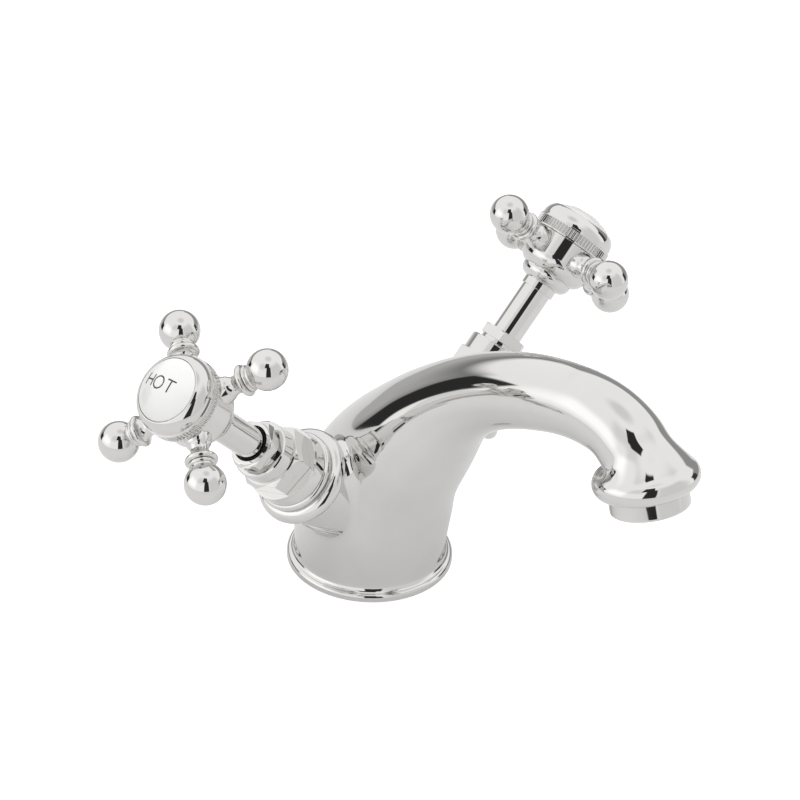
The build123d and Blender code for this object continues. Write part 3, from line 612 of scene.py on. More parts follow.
# ------------------------------------------------------------------ casting
@dataclass(frozen=True)
class Casting:
    """The one-piece body and spout: a round foot, a belly that leans forward, a neck and a bell mouth."""

    foot_radius: float = 27.5
    body_radius: float = 25.2
    foot_height: float = 8.4
    foot_edge: float = 1.3         # radius of the foot's lower edge
    plate_radius: float = 20.6
    plate_depth: float = 12.0
    outlet_reach: float = 122.8
    outlet_height: float = 86.4
    outlet_tilt: float = 18.2
    crest_height: float = 107.0
    nose_bend: float = 20.0
    bell_bore: float = 12.3
    bell_floor: float = 11.8
    bell_edge: float = 4.0
    bell_rim: float = 16.07
    aerator_show: float = 5.3
    boss_radius: float = 13.0
    boss_face: float = 43.3
    boss_fillet: float = 4.0
    boss_sink: float = 9.0         # how far the boss runs on inside the body
    spout_clear: float = 82.0      # height above which the body is spout, clear of the bosses
    sections: int = 240            # rows of the skin
    probe_sections: int = 400      # rows that the bosses' roots are measured against
    belly: tuple[tuple[float, float], ...] = (
        (-6.2, 35.9), (-20.2, 57.3),
    )    # centre line above the foot, (y, z)
    throat: tuple[float, float] = (-37.3, 78.6)
    arch_share: tuple[float, float] = (0.53, 0.76)    # from throat to crest, along y and z
    rise_radii: tuple[tuple[float, float], ...] = (
        (0.0, 25.2), (0.055, 25.6), (0.12, 25.4), (0.19, 24.1), (0.28, 21.9), (0.37, 19.5), (0.44, 17.3),
        (0.50, 15.2), (0.56, 13.6), (0.63, 12.5), (0.72, 11.8), (0.82, 11.4), (0.91, 10.9), (1.0, 10.7),
    )
    nose_radii: tuple[tuple[float, float], ...] = ((0.25, 10.6), (0.5, 10.8), (0.66, 11.5))

    @property
    def outlet_up(self) -> Array:
        """Direction up the outlet's axis, in the (y, z) plane."""
        return np.array([sin(radians(self.outlet_tilt)), cos(radians(self.outlet_tilt))])

    @property
    def outlet_face(self) -> Array:
        """Middle of the outlet's lower face, as (y, z)."""
        return np.array([-self.outlet_reach, self.outlet_height])

    def outlet_seat(self) -> Seat:
        """The frame of the outlet's axis."""
        up = np.array([0.0, *self.outlet_up])
        across = np.array([1.0, 0.0, 0.0])
        return Seat(np.array([0.0, *self.outlet_face]), across, np.cross(up, across), up)

    def sweep(self, steps: int) -> tuple[Array, Array, Array, Array, Array]:
        """Round sections from foot to bell: a spline through the stations' centres, radii and headings.

        The centre line rises from the foot by four points to the crest, then bends by a circle to the outlet.

        Args:
            steps: number of sections.

        Returns:
            Centres (y, z), their slopes, radii, radii's slopes, and headings with slopes, one row a section.
        """
        tilt = radians(self.outlet_tilt)
        drop = self.crest_height - self.outlet_height - self.nose_bend * (1 - sin(tilt))
        nose_end = self.outlet_face + self.outlet_up * drop / cos(tilt)
        bend = nose_end + np.array([cos(tilt), -sin(tilt)]) * self.nose_bend
        crest = bend + np.array([0.0, self.nose_bend])
        throat = np.array(self.throat)
        arch = throat + (crest - throat) * np.array(self.arch_share)
        way = np.array([(0.0, self.foot_height), *self.belly, throat, arch, crest])
        chord = np.concatenate([[0.0], np.cumsum(np.hypot(*np.diff(way, axis=0).T))])
        line = spline_through(chord, way, np.array([0.0, 1.0]), np.array([-1.0, 0.0]))
        fine = np.linspace(0, chord[-1], 2000)
        trail = line(fine)[0]
        walked = np.concatenate([[0.0], np.cumsum(np.hypot(*np.diff(trail, axis=0).T))])
        shares = np.array([share for share, _ in self.rise_radii])
        centres, slopes = line(np.interp(shares * walked[-1], walked, fine))
        heading = np.arctan2(slopes[:, 0], slopes[:, 1])
        turned = (pi / 2 - tilt) * np.array([share for share, _ in self.nose_radii])
        nose = bend + self.nose_bend * np.stack([-np.sin(turned), np.cos(turned)], 1)
        join = self.bell_join()
        last = self.outlet_face + self.outlet_up * join[1]
        centres = np.vstack([centres, nose, last])
        heading = np.concatenate([heading, -pi / 2 - turned, [-pi + tilt]])
        radii = np.array([r for _, r in self.rise_radii + self.nose_radii] + [join[0]])
        knots = np.concatenate([[0.0], np.cumsum(np.hypot(*np.diff(centres, axis=0).T))])
        t = np.linspace(0, knots[-1], steps)
        value, slope = spline_through(knots, np.column_stack([centres, radii, heading]))(t)
        return value[:, :2], slope[:, :2], value[:, 2], slope[:, 2], np.column_stack(
            [value[:, 3], slope[:, 3]]
        )

    def bell_join(self) -> tuple[float, float]:
        """Where the flare meets the mouth's round edge: radius, and height up the outlet's axis."""
        reach = self.bell_edge * RIM
        return self.bell_rim - self.bell_edge + reach, self.aerator_show + self.bell_edge + reach

    def skin(self) -> Surface:
        """The whole outer surface as one grid of round sections: foot, swept body and neck, bell mouth."""
        low, wide, ease = self.plate_depth, self.foot_radius, self.foot_edge
        upper = (wide - ease, 2 * ease)
        foot = profile([
            *path_runs(
                (0.0, low), (self.plate_radius, low), (self.plate_radius, 0.0), (wide, 0.0), (wide, ease),
            ),
            bow((wide, ease), (wide - ease + ease * RIM, ease + ease * RIM), upper),
            blend_run(upper, (-1, 0.4), (self.body_radius, self.foot_height), (0, 1), 16),
        ])
        upright = Seat(np.zeros(3), np.array([1.0, 0, 0]), np.array([0, 1.0, 0]), np.array([0, 0, 1.0]))
        base = upright.turned(*foot, FOOT_ROUND)
        count = self.sections
        centre, move, radius, swell, heading = self.sweep(count)
        angle = np.arange(FOOT_ROUND) * 2 * pi / FOOT_ROUND
        side, rise = np.broadcast_to(np.cos(angle), (count, FOOT_ROUND)), np.sin(angle)
        ahead = np.stack([np.cos(heading[:, 0]), -np.sin(heading[:, 0])], 1)
        spoke = np.stack([side, ahead[:, :1] * rise, ahead[:, 1:] * rise], 2)
        way_on = np.stack([np.sin(heading[:, 0]), np.cos(heading[:, 0])], 1)
        lean = np.stack([np.zeros_like(side), -way_on[:, :1] * rise, -way_on[:, 1:] * rise], 2)
        middle = np.column_stack([np.zeros(count), centre])[:, None]
        going = np.column_stack([np.zeros(count), move])[:, None]
        tube = middle + radius[:, None, None] * spoke
        tube_way = going + swell[:, None, None] * spoke + (radius * heading[:, 1])[:, None, None] * lean
        edge, show = self.bell_edge, self.aerator_show
        mid = self.bell_rim - edge
        dip = acos((self.bell_bore - mid) / edge)
        lip = (self.bell_bore, show + edge - edge * sin(dip))
        mouth = profile([
            bow(self.bell_join(), (self.bell_rim, show + edge), lip, 24),
            *path_runs(lip, (self.bell_bore, self.bell_floor), (0.0, self.bell_floor)),
        ], edge=0.05)
        seat = self.outlet_seat()
        flipped = Seat(seat.origin, seat.across, -seat.forward, seat.axis)
        bell = flipped.turned(*mouth, FOOT_ROUND)
        grids = (base.points, tube[1:-1], bell.points), (base.along, tube_way[1:-1], bell.along)
        return Surface(np.vstack(grids[0]), np.vstack(grids[1]))

    def outside(self, places: Array) -> Array:
        """How far places lie outside the body: distance to the nearest section's centre, less its radius."""
        centre, _, radius, swell, heading = self.sweep(self.probe_sections)
        keep = centre[:, 1] < self.spout_clear
        centre, radius, swell, turn = centre[keep], radius[keep], swell[keep], heading[keep, 0]
        on = np.stack([np.sin(turn), np.cos(turn)], 1)
        gap = np.einsum("pkc,kc->pk", places[:, None, 1:] - centre, on)
        near = np.abs(gap).argmin(1)
        past = gap[np.arange(len(places)), near]
        middle = centre[near] + on[near] * past[:, None]
        out = np.sqrt(places[:, 0] ** 2 + ((places[:, 1:] - middle) ** 2).sum(1))
        return out - (radius[near] + swell[near] * past)

    def collar(self, side: Side) -> Surface:
        """A valve's boss with its rolled root.

        In each half-plane through the boss's axis a ball of the fillet's radius touches the boss's wall and
        rests on the body: its centre's height is the largest of body + sqrt(ball^2 - (r - centre r)^2).
        The root is its arc. The body's height there is found by halving a span of the axis 26 times.
        """
        seat, ball = valve_seat(side), self.boss_fillet
        wall = self.boss_radius
        angle = np.arange(FOOT_ROUND) * 2 * pi / FOOT_ROUND
        spoke = np.cos(angle)[:, None] * seat.across + np.sin(angle)[:, None] * seat.forward
        reach = np.linspace(wall, wall + 2 * ball, 49)
        flat = seat.origin + reach[:, None, None] * spoke
        low, high = np.full(flat.shape[:2], 2.0), np.full(flat.shape[:2], 66.0)
        for _ in range(26):
            half = (low + high) / 2
            out = self.outside((flat + half[..., None] * seat.axis).reshape(-1, 3)).reshape(half.shape) > 0
            low, high = np.where(out, low, half), np.where(out, half, high)
        dome = np.sqrt(np.maximum(ball**2 - (reach - wall - ball) ** 2, 0))[:, None]
        lift = low + dome
        at = lift.argmax(0)
        centre = lift.max(0)
        centre = sum(np.roll(centre, k) for k in (-1, 0, 1)) / 3
        touch = np.arctan2(low[at, np.arange(len(angle))] - centre, reach[at] - wall - ball) % (2 * pi)
        share = np.linspace(0, 1, 15)[:, None]
        bend = touch + share * (pi - touch)
        none, one, face = np.zeros_like(angle), np.ones_like(angle), self.boss_face
        radius = np.vstack([none, wall + ball + ball * np.cos(bend), wall * one, (wall - EDGE) * one, none])
        height = np.vstack([
            (
                centre.min() - self.boss_sink
            ) * one, centre + ball * np.sin(bend), (face - EDGE) * one, face * one, face * one,
        ])
        out = np.vstack([one, np.sin(bend), none, -one, -one])
        up = np.vstack([none, -np.cos(bend), one, none, none])
        points = seat.origin + radius[..., None] * spoke + height[..., None] * seat.axis
        return Surface(points, out[..., None] * spoke + up[..., None] * seat.axis)

    def underside(self) -> Object:
        """The foot's underside, inlets and stud hole: the casting's own faces inside the foot's recess."""
        source = frame["nodes"]["body_casting"].data
        where = np.zeros(len(source.vertices) * 3)
        source.vertices.foreach_get("co", where)
        where = where.reshape(-1, 3) / MM
        corners = np.zeros(len(source.polygons) * 3, int)
        source.polygons.foreach_get("vertices", corners)
        corners = corners.reshape(-1, 3)
        slack = 0.01
        inside = np.hypot(where[:, 0], where[:, 1]) < self.plate_radius + slack
        inside &= where[:, 2] < self.plate_depth + slack
        kept = corners[inside[corners].all(1)]
        used, index = np.unique(np.round(where[kept.ravel()], 4), axis=0, return_inverse=True)
        mesh = bpy.data.meshes.new("foot_underside")
        mesh.from_pydata((used * MM).tolist(), [], index.reshape(-1, 3).tolist())
        mesh.set_sharp_from_angle(angle=radians(30))
        return bpy.data.objects.new("foot_underside", mesh)

    def build(self, plate: Material) -> list[Object]:
        """Makes the casting's skin, its two bosses and its underside.

        Args:
            plate: the chrome finish.

        Returns:
            The pieces.
        """
        made = [add_piece("casting_skin", [self.skin()], plate, "body")]
        for side in Side:
            made.append(add_piece(f"{side.value}_boss", [self.collar(side)], plate, "body"))
        under = self.underside()
        under.data.materials.append(plate)
        bpy.context.scene.collection.objects.link(under)
        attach(under, "body")
        made.append(under)
        for piece in made:
            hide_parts("body_casting")
        return made


# ------------------------------------------------------------------ aerator
@dataclass(frozen=True)
class Aerator:
    """The chrome housing screwed into the bell; its screen, insert and washer stay the machined parts."""

    radius: float = 12.0
    bore: float = 11.0
    opening: float = 9.6
    lip: float = 1.2
    length: float = 11.3
    lower_round: float = 0.8

    def build(self, casting: Casting, plate: Material) -> Object:
        """Makes the housing as a closed ring turned about the outlet's axis.

        Args:
            casting: the casting whose outlet it is screwed into.
            plate: the chrome finish.

        Returns:
            The housing.
        """
        ease, wide = self.lower_round, self.radius
        inner_edge, outer_edge, top = (wide - ease, 0.0), (wide, ease), (self.bore, self.length)
        runs = [
            *path_runs(top, (self.bore, self.lip), (self.opening, self.lip), (self.opening, 0.0), inner_edge),
            bow(inner_edge, (wide - ease * (1 - RIM), ease * (1 - RIM)), outer_edge, 8),
            *path_runs(outer_edge, (wide, self.length), top),
        ]
        surface = casting.outlet_seat().turned(*profile(runs), VALVE_ROUND, looped=True)
        piece = add_piece("aerator_sleeve", [surface], plate, "body")
        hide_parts("aerator_housing")
        return piece


# ------------------------------------------------------------------ valve body
@dataclass(frozen=True)
class Valve:
    """The fixed part of a valve: the rolled trim ring, the bonnet with its hexagon, and the gland nut."""

    side: Side
    hex_turn: float
    gland_turn: float
    seat_height: float = 43.3
    trim: float = 6.0
    trim_radius: float = 16.0
    trim_bore: float = 9.3
    bead: float = 1.3
    bead_radius: float = 12.0      # where the bead springs from the bonnet
    plinth_top: float = 56.5
    plinth_radii: tuple[float, float] = (12.3, 11.6)    # at the bead and at the top, with a waist between
    round_seat: float = 12.2       # radius of the round seat under the hexagon
    shell: tuple[tuple[float, float], ...] = (
        (6.0, 21.0), (7.0, 21.0), (7.0, 33.0), (9.0, 33.0),
    )    # down the cartridge
    bore: tuple[tuple[float, float], ...] = (
        (6.35, 62.4), (5.05, 62.4), (5.05, 31.1), (6.0, 31.1),
    )    # and back up it
    band_ease: float = 0.5         # chamfer at the band's top
    hex_chamfer: float = 30.0      # degrees
    hex_apothem: float = 9.9
    hex_low: float = 57.9
    hex_high: float = 65.2
    band_radius: float = 9.5
    band_top: float = 70.9
    gland_low: float = 72.2
    gland_high: float = 75.8
    gland_apothem: float = 7.2
    gland_round: float = 1.4
    gland_bore: float = 5.45
    gland_thread: float = 6.3
    gland_neck: float = 6.8
    gland_foot: float = 65.4
    gland_sink: float = 0.4        # how far the neck runs up inside the nut
    seal_radius: float = 5.9

    def trim_ring(self, plate: Material) -> Object:
        """The half-round ring between the boss and the bonnet."""
        low, high, mid = self.seat_height, self.seat_height + self.trim, self.trim_radius - self.trim / 2
        runs = [
            *path_runs((mid, high), (self.trim_bore, high), (self.trim_bore, low), (mid, low)),
            bow((mid, low), (self.trim_radius, (low + high) / 2), (mid, high), 32),
        ]
        surface = valve_seat(self.side).turned(*profile(runs), VALVE_ROUND, True)
        piece = add_piece(f"{self.side.value}_rolled_ring", [surface], plate, "body")
        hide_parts(f"{self.side.value}_trim_ring")
        return piece

    def bonnet(self, plate: Material) -> Object:
        """The bonnet: bead, waisted plinth, round seat, hexagon and band, over its cartridge."""
        seat = valve_seat(self.side)
        foot = self.seat_height + self.trim
        bead_top = foot + 2 * self.bead
        spring, wide, narrow = self.bead_radius, *self.plinth_radii
        band, top = self.band_radius, self.band_top
        runs = [
            *path_runs(*self.shell, (self.shell[-1][0], foot), (spring, foot)),
            bow((spring, foot), (spring + self.bead, foot + self.bead), (spring, bead_top)),
            straight((spring, bead_top), (wide, bead_top)),
            blend_run((wide, bead_top), (0, 1), (narrow, self.plinth_top), (-0.3, 1)),
            *path_runs(
                (narrow, self.plinth_top), (self.round_seat, self.plinth_top), (
                    self.round_seat, self.hex_low,
                ),
                (band, self.hex_low), (band, top - self.band_ease), (band - self.band_ease, top),
                (self.bore[0][0], top), *self.bore, self.shell[0],
            ),
        ]
        slope = tan(radians(self.hex_chamfer))

        def chamfered(radius: Array) -> Array:
            """Height of the chamfered top at a distance from the axis: level, then falling past the flats."""
            return self.hex_high - np.maximum(radius - self.hex_apothem, 0) * slope
        nut = hexagon(
            seat, self.hex_apothem, self.hex_low, self.hex_high, chamfered, self.hex_apothem, band - 1,
            self.hex_turn,
        )
        surfaces = [seat.turned(*profile(runs), VALVE_ROUND, True), nut]
        piece = add_piece(f"{self.side.value}_bonnet_body", surfaces, plate, "body")
        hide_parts(f"{self.side.value}_bonnet")
        return piece

    def gland(self, plate: Material) -> Object:
        """The gland nut: a plain neck, and a small hexagon whose top is rounded over to the stem."""
        seat = valve_seat(self.side)
        start, inside = (self.gland_bore, self.gland_foot), self.gland_low + self.gland_sink
        shank = profile(path_runs(
            start, (self.gland_thread, self.gland_foot), (self.gland_thread, self.band_top),
            (self.gland_neck, self.band_top), (self.gland_neck, inside), (self.gland_bore, inside), start,
        ))
        corner = self.gland_apothem / cos(pi / 6)
        mid = corner - self.gland_round

        def rounded(radius: Array) -> Array:
            """Height of the rounded-over top at a distance from the axis: an arc of the rounding's radius."""
            dip = self.gland_round**2 - np.maximum(radius - mid, 0) ** 2
            return self.gland_high - self.gland_round + np.sqrt(np.maximum(dip, 1e-6))
        nut = hexagon(
            seat, self.gland_apothem, self.gland_low, self.gland_high, rounded, mid, self.seal_radius,
            self.gland_turn,
        )
        surfaces = [seat.turned(*shank, VALVE_ROUND, True), nut]
        piece = add_piece(f"{self.side.value}_packing_nut", surfaces, plate, "body")
        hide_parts(f"{self.side.value}_gland_nut")
        return piece

    def build(self, plate: Material) -> list[Object]:
        """Makes the valve's three fixed pieces."""
        return [self.trim_ring(plate), self.bonnet(plate), self.gland(plate)]


# ------------------------------------------------------------------ handle
# Each letter's width and strokes in mm, 4 mm high.
LETTERS: dict[str, tuple[float, list[list[tuple[float, float]]]]] = {
    "H": (2.7, [[(0, 0), (0, 4)], [(2.7, 0), (2.7, 4)], [(0, 2), (2.7, 2)]]),
    "O": (3.8, [[(1.9 + 1.9 * cos(a), 2 + 2 * sin(a)) for a in np.linspace(0, 2 * pi, 33)]]),
    "T": (3.4, [[(0, 4), (3.4, 4)], [(1.7, 0), (1.7, 4)]]),
    "C": (3.2, [[(1.9 + 1.9 * cos(a), 2 + 2 * sin(a)) for a in np.linspace(0.8, 2 * pi - 0.8, 25)]]),
    "L": (2.2, [[(0, 4), (0, 0), (2.2, 0)]]),
    "D": (3.2, [
        [(1.0, 0), (0, 0), (0, 4), (1.0, 4)],
        [(1.0 + 2.2 * cos(a), 2 + 2 * sin(a)) for a in np.linspace(pi / 2, -pi / 2, 17)],
    ]),
}


@dataclass(frozen=True)
class Handle:
    """A cross handle: stem tube, bowl-shaped hub, four ball-ended arms, coin-edged bezel, glazed button."""

    side: Side
    rest_turn: float
    word: str
    word_turn: float
    stem_radius: float = 5.15
    stem_bore: float = 4.4
    stem_low: float = 68.0
    socket: float = 97.0
    collar_low: float = 93.3
    collar_radius: float = 5.8
    bulb_low: float = 96.0
    bowl_low: float = 99.8
    hub_low: float = 104.9
    hub_high: float = 112.1
    hub_radius: float = 12.1
    bulb_radii: tuple[float, float] = (8.25, 8.9)    # a third of the way up and at the top
    bowl_radii: tuple[float, float] = (9.0, 11.45)   # at the foot and a third of the way up
    spigot: tuple[float, float] = (11.0, 3.4)        # radius and height of the spigot that the bezel sits on
    well: tuple[
        float, float,
    ] = (6.0, 3.0)           # radius of the screw's well, and its depth below the bowl's top
    spindle_bore: float = 3.65
    boss_root: float = 9.0
    boss_radii: tuple[float, float] = (4.4, 3.7)     # at the hub and at the arm
    boss_reach: float = 14.0
    arm_height: float = 107.6
    ball_reach: float = 27.36
    ball_radius: float = 6.45
    bezel_radius: float = 13.3
    coin_high: float = 4.0
    coin_border: float = 0.45
    coin_flutes: int = 72
    coin_depth: float = 0.55
    index_radius: float = 10.25
    index_side: float = 121.0
    index_rise: float = 2.9
    letter_width: float = 0.5
    letter_rise: float = 0.05
    letter_gap: float = 0.85
    word_low: float = -1.1
    word_shift: float = -1.5

    @property
    def body(self) -> str:
        """The body that the handle turns with."""
        return f"{self.side.value}_handle"

    def replace(self, piece: Object, *parts: str) -> Object:
        """Lets the piece stand for this side's machined parts."""
        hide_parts(*(f"{self.side.value}_{part}" for part in parts))
        return piece

    def stem(self, plate: Material) -> Object:
        """The plain tube over the spindle."""
        bore, wide, low, high = self.stem_bore, self.stem_radius, self.stem_low, self.socket
        runs = path_runs((bore, low), (wide, low), (wide, high), (bore, high), (bore, low))
        surface = valve_seat(self.side).turned(*profile(runs), VALVE_ROUND, True)
        piece = add_piece(f"{self.side.value}_stem_sleeve", [surface], plate, self.body)
        return self.replace(piece, "stem_tube")

    def arm_seat(self, number: int) -> Seat:
        """The frame of an arm's own axis, square to the valve's."""
        valve = valve_seat(self.side)
        turn = radians(self.rest_turn + 90 * number)
        axis = cos(turn) * valve.across + sin(turn) * valve.forward
        return Seat(valve.origin + valve.axis * self.arm_height, valve.axis, np.cross(axis, valve.axis), axis)

    def hub(self, plate: Material) -> Object:
        """The hub: collar, bulb, bowl and cylinder turned as one, with a coved boss for each arm."""
        tube, collar, wide = self.stem_radius, self.collar_radius, self.hub_radius
        bulb_third, bulb_top = self.bulb_radii
        bowl_foot, bowl_third = self.bowl_radii
        spigot, spigot_top = self.spigot[0], self.hub_high + self.spigot[1]
        well, floor = self.well[0], self.hub_low - self.well[1]
        runs = [
            *path_runs(
                (tube, self.socket), (tube, self.collar_low), (collar, self.collar_low),
                (collar, self.bulb_low),
            ),
            bow((collar, self.bulb_low), (bulb_third, self.bulb_low + 1.3), (bulb_top, self.bowl_low)),
            straight((bulb_top, self.bowl_low), (bowl_foot, self.bowl_low)),
            bow((bowl_foot, self.bowl_low), (bowl_third, self.bowl_low + 2.15), (wide, self.hub_low)),
            *path_runs(
                (wide, self.hub_low), (wide, self.hub_high), (spigot, self.hub_high), (spigot, spigot_top),
                (well, spigot_top), (well, floor), (self.spindle_bore, floor), (
                    self.spindle_bore, self.socket,
                ),
                (tube, self.socket),
            ),
        ]
        surfaces = [valve_seat(self.side).turned(*profile(runs), VALVE_ROUND, True)]
        root, thick, thin, reach = self.boss_root, *self.boss_radii, self.boss_reach
        boss = profile([
            *path_runs((0.0, root), (thick, root), (thick, wide - 0.4)),
            blend_run((thick, wide - 0.4), (-0.2, 1), (thin, reach), (-0.4, 1)),
            straight((thin, reach), (0.0, reach)),
        ])
        surfaces += [self.arm_seat(number).turned(*boss, ARM_ROUND) for number in range(4)]
        piece = add_piece(f"{self.side.value}_hub_body", surfaces, plate, self.body)
        return self.replace(piece, "hub")

    def arm(self, number: int, plate: Material) -> Object:
        """An arm: waisted neck, rolled ring, bead and ball."""
        seat = self.arm_seat(number)
        neck = profile([
            *path_runs((0.0, 13.0), (3.6, 13.0), (3.68, 14.0)),
            blend_run((3.68, 14.0), (-0.8, 1), (2.9, 16.0), (0, 1), 8),
            blend_run((2.9, 16.0), (0, 1), (4.1, 18.2), (1, 0.5), 10),
            bow((4.1, 18.2), (5.1, 19.2), (4.1, 20.2), 20),
            straight((4.1, 20.2), (3.65, 20.2)),
            bow((3.65, 20.2), (4.3, 20.85), (3.65, 21.5), 14),
            *path_runs((3.65, 21.5), (3.65, self.ball_reach), (0.0, self.ball_reach)),
        ], edge=0.06)
        low, high = self.ball_reach - self.ball_radius, self.ball_reach + self.ball_radius
        ball = profile([bow((0.0, low), (self.ball_radius, self.ball_reach), (0.0, high), 49)])
        surfaces = [seat.turned(*neck, ARM_ROUND), seat.turned(*ball, BALL_ROUND)]
        piece = add_piece(f"{self.side.value}_ball_arm_{number + 1}", surfaces, plate, self.body)
        return self.replace(piece, f"arm_{number + 1}")

    def bezel(self, plate: Material) -> Object:
        """The bezel: a coin edge of narrow flutes between plain borders, and a dome running in to the button.

        The flutes' depth is depth * sqrt(1 - (x / half width)^2) across each flute, faded out at the borders.
        """
        low, top = self.hub_high, self.hub_high + 8.9
        coin = self.coin_high + low
        inner = 11.05
        under = low + 5.4
        rows = profile([
            *path_runs((inner, under), (inner, low), (self.bezel_radius, low)),
            straight((self.bezel_radius, low), (self.bezel_radius, coin)),
            *path_runs((self.bezel_radius, coin), (12.9, coin), (12.9, coin + 0.6)),
            blend_run((12.9, coin + 0.6), (0, 1), (10.65, top), (-1, 0.6), 24),
            *path_runs((10.65, top), (10.35, top), (10.35, under), (inner, under)),
        ], edge=0.08)
        points, along = rows
        wall = np.isclose(points[:, 0], self.bezel_radius)
        wall &= (points[:, 1] > low + 0.01) & (points[:, 1] < coin - 0.01)
        first, last = np.flatnonzero(wall)[[0, -1]]
        border = np.array([0.0, self.coin_border - 0.05, self.coin_border + 0.05])
        heights = np.concatenate([points[first, 1] + border, (points[last, 1] - border)[::-1]])
        coin_rows = np.column_stack([np.full(6, self.bezel_radius), heights])
        points = np.vstack([points[:first], coin_rows, points[last + 1:]])
        along = np.vstack([along[:first], np.tile([0.0, 1.0], (6, 1)), along[last + 1:]])
        columns = self.coin_flutes * 10
        surface = valve_seat(self.side).turned(points, along, columns, True)
        pitch = 2 * pi * self.bezel_radius / self.coin_flutes
        across = ((np.arange(columns) % 10) / 10 - 0.5) * pitch
        cut = self.coin_depth * np.sqrt(np.maximum(1 - (across / (0.33 * pitch)) ** 2, 0))
        seat = valve_seat(self.side)
        angle = np.arange(columns) * 2 * pi / columns
        spoke = np.cos(angle)[:, None] * seat.across + np.sin(angle)[:, None] * seat.forward
        surface.points[first + 2:first + 4] -= cut[:, None] * spoke
        bent = np.roll(surface.points, -1, 1) - np.roll(surface.points, 1, 1)
        surface.around = np.array(surface.around)
        surface.around[first + 2:first + 4] = bent[first + 2:first + 4]
        piece = add_piece(f"{self.side.value}_coin_bezel", [surface], plate, self.body)
        return self.replace(piece, "bezel")

    def dome(self, distance: Array) -> Array:
        """Height of the button's top at a distance from its middle: a sphere cap through its side's edge."""
        big = (self.index_radius**2 + self.index_rise**2) / (2 * self.index_rise)
        return self.index_side + self.index_rise - big + np.sqrt(big**2 - distance**2)

    def button(self, glaze: Material) -> Object:
        """The glazed button with its hidden flange."""
        half = self.index_radius / 2
        edge = (self.index_radius, self.index_side)
        runs = [
            *path_runs((0.0, 115.5), (10.9, 115.5), (10.9, 117.45), (self.index_radius, 117.45), edge),
            bow(edge, (half, float(self.dome(np.array(half)))), (0.0, self.index_side + self.index_rise), 24),
        ]
        surface = valve_seat(self.side).turned(*profile(runs, edge=0.25), VALVE_ROUND)
        piece = add_piece(f"{self.side.value}_glazed_button", [surface], glaze, self.body)
        return self.replace(piece, "index")

    def stroke(self, path: Array, seat: Seat) -> Surface:
        """One enamel stroke: a flattened tube along a path on the dome, rounded at both ends.

        Its half width is w sqrt(1 - e^2), e rising from 0 to 1 over the last half width at each end.
        """
        walked = np.concatenate([[0.0], np.cumsum(np.hypot(*np.diff(path, axis=0).T))])
        half = self.letter_width / 2
        near = half * (1 - np.cos(np.linspace(0, pi / 2, 6)))
        inner = np.linspace(half, walked[-1] - half, max(4, int(walked[-1] / 0.12)))
        t = np.concatenate([near[:-1], inner, walked[-1] - near[:-1][::-1]])
        line = np.column_stack([np.interp(t, walked, path[:, k]) for k in (0, 1)])
        way = np.gradient(line, axis=0)
        way /= np.maximum(np.linalg.norm(way, axis=1, keepdims=True), 1e-9)
        wide = half * np.sqrt(np.clip(1 - np.clip(1 - np.minimum(t, walked[-1] - t) / half, 0, 1) ** 2, 0, 1))
        ring = np.arange(12) * 2 * pi / 12
        side_way = np.stack([-way[:, 1], way[:, 0]], 1)
        spot = line[:, None] + (wide[:, None] * np.cos(ring))[..., None] * side_way[:, None]
        lift = self.dome(
            np.linalg.norm(spot, axis=2)
        ) + self.letter_rise * (wide / half)[:, None] * np.sin(ring)
        level = seat.origin + spot[..., :1] * seat.across + spot[..., 1:] * seat.forward
        points = level + lift[..., None] * seat.axis
        along = np.broadcast_to((way[:, :1] * seat.across + way[:, 1:] * seat.forward)[:, None], points.shape)
        return Surface(points, along)

    def lettering(self, enamel: Material) -> Object:
        """The word on the button, in plain strokes of one width set in from the middle."""
        valve = valve_seat(self.side)
        up_turn = radians(self.word_turn)
        up = cos(up_turn) * valve.across + sin(up_turn) * valve.forward
        seat = Seat(valve.origin, np.cross(up, valve.axis), up, valve.axis)
        widths = [LETTERS[letter][0] for letter in self.word]
        start = self.word_shift - (sum(widths) + self.letter_gap * (len(widths) - 1)) / 2
        surfaces = []
        for letter, width in zip(self.word, widths):
            for line in LETTERS[letter][1]:
                surfaces.append(self.stroke(np.array(line, float) + np.array([start, self.word_low]), seat))
            start += width + self.letter_gap
        return add_piece(f"{self.side.value}_button_letters", surfaces, enamel, self.body)

    def build(self, plate: Material, glaze: Material, enamel: Material) -> list[Object]:
        """Makes all the handle's pieces.

        Args:
            plate: the chrome finish.
            glaze: the button's finish.
            enamel: the letters' finish.

        Returns:
            The pieces.
        """
        made = [
            self.stem(plate), self.hub(plate), self.bezel(plate), self.button(glaze), self.lettering(enamel),
        ]
        return made + [self.arm(number, plate) for number in range(4)]


# ------------------------------------------------------------------ studio
@dataclass(frozen=True)
class Patch:
    """A patch of the tent's cloth: its edges in degrees of bearing and height, their softness, its light."""

    left: float
    right: float
    low: float
    high: float
    soft: float
    level: float


TENT_PATCHES = (
    Patch(-200, 200, 76, 100, 8, 0.80),      # thicker cloth at the crown
    Patch(-95, -50, 0, 30, 10, 1.38),        # the window side
    Patch(20, 88, -20, 50, 12, 0.78),        # shade on the right
    Patch(-52, -14, 28, 56, 9, 0.85),        # shade left of the gap
    Patch(-200, -118, -30, 13, 4, 0.22),     # far edge of the room, left
    Patch(-200, -122, -30, 5, 7, 0.50),
    Patch(118, 200, -30, 20, 3, 0.34),       # far edge of the room, right
    Patch(-120, -100, -30, 10.5, 1.5, 0.03),  # left side gap
    Patch(104, 121, -30, 18, 2, 0.05),       # right side gap
    Patch(-19, 13, 38, 61.5, 1.5, 0.03),     # gap at the camera, upper part
    Patch(-6, 19, -14, 43, 1.5, 0.03),       # and lower part
)


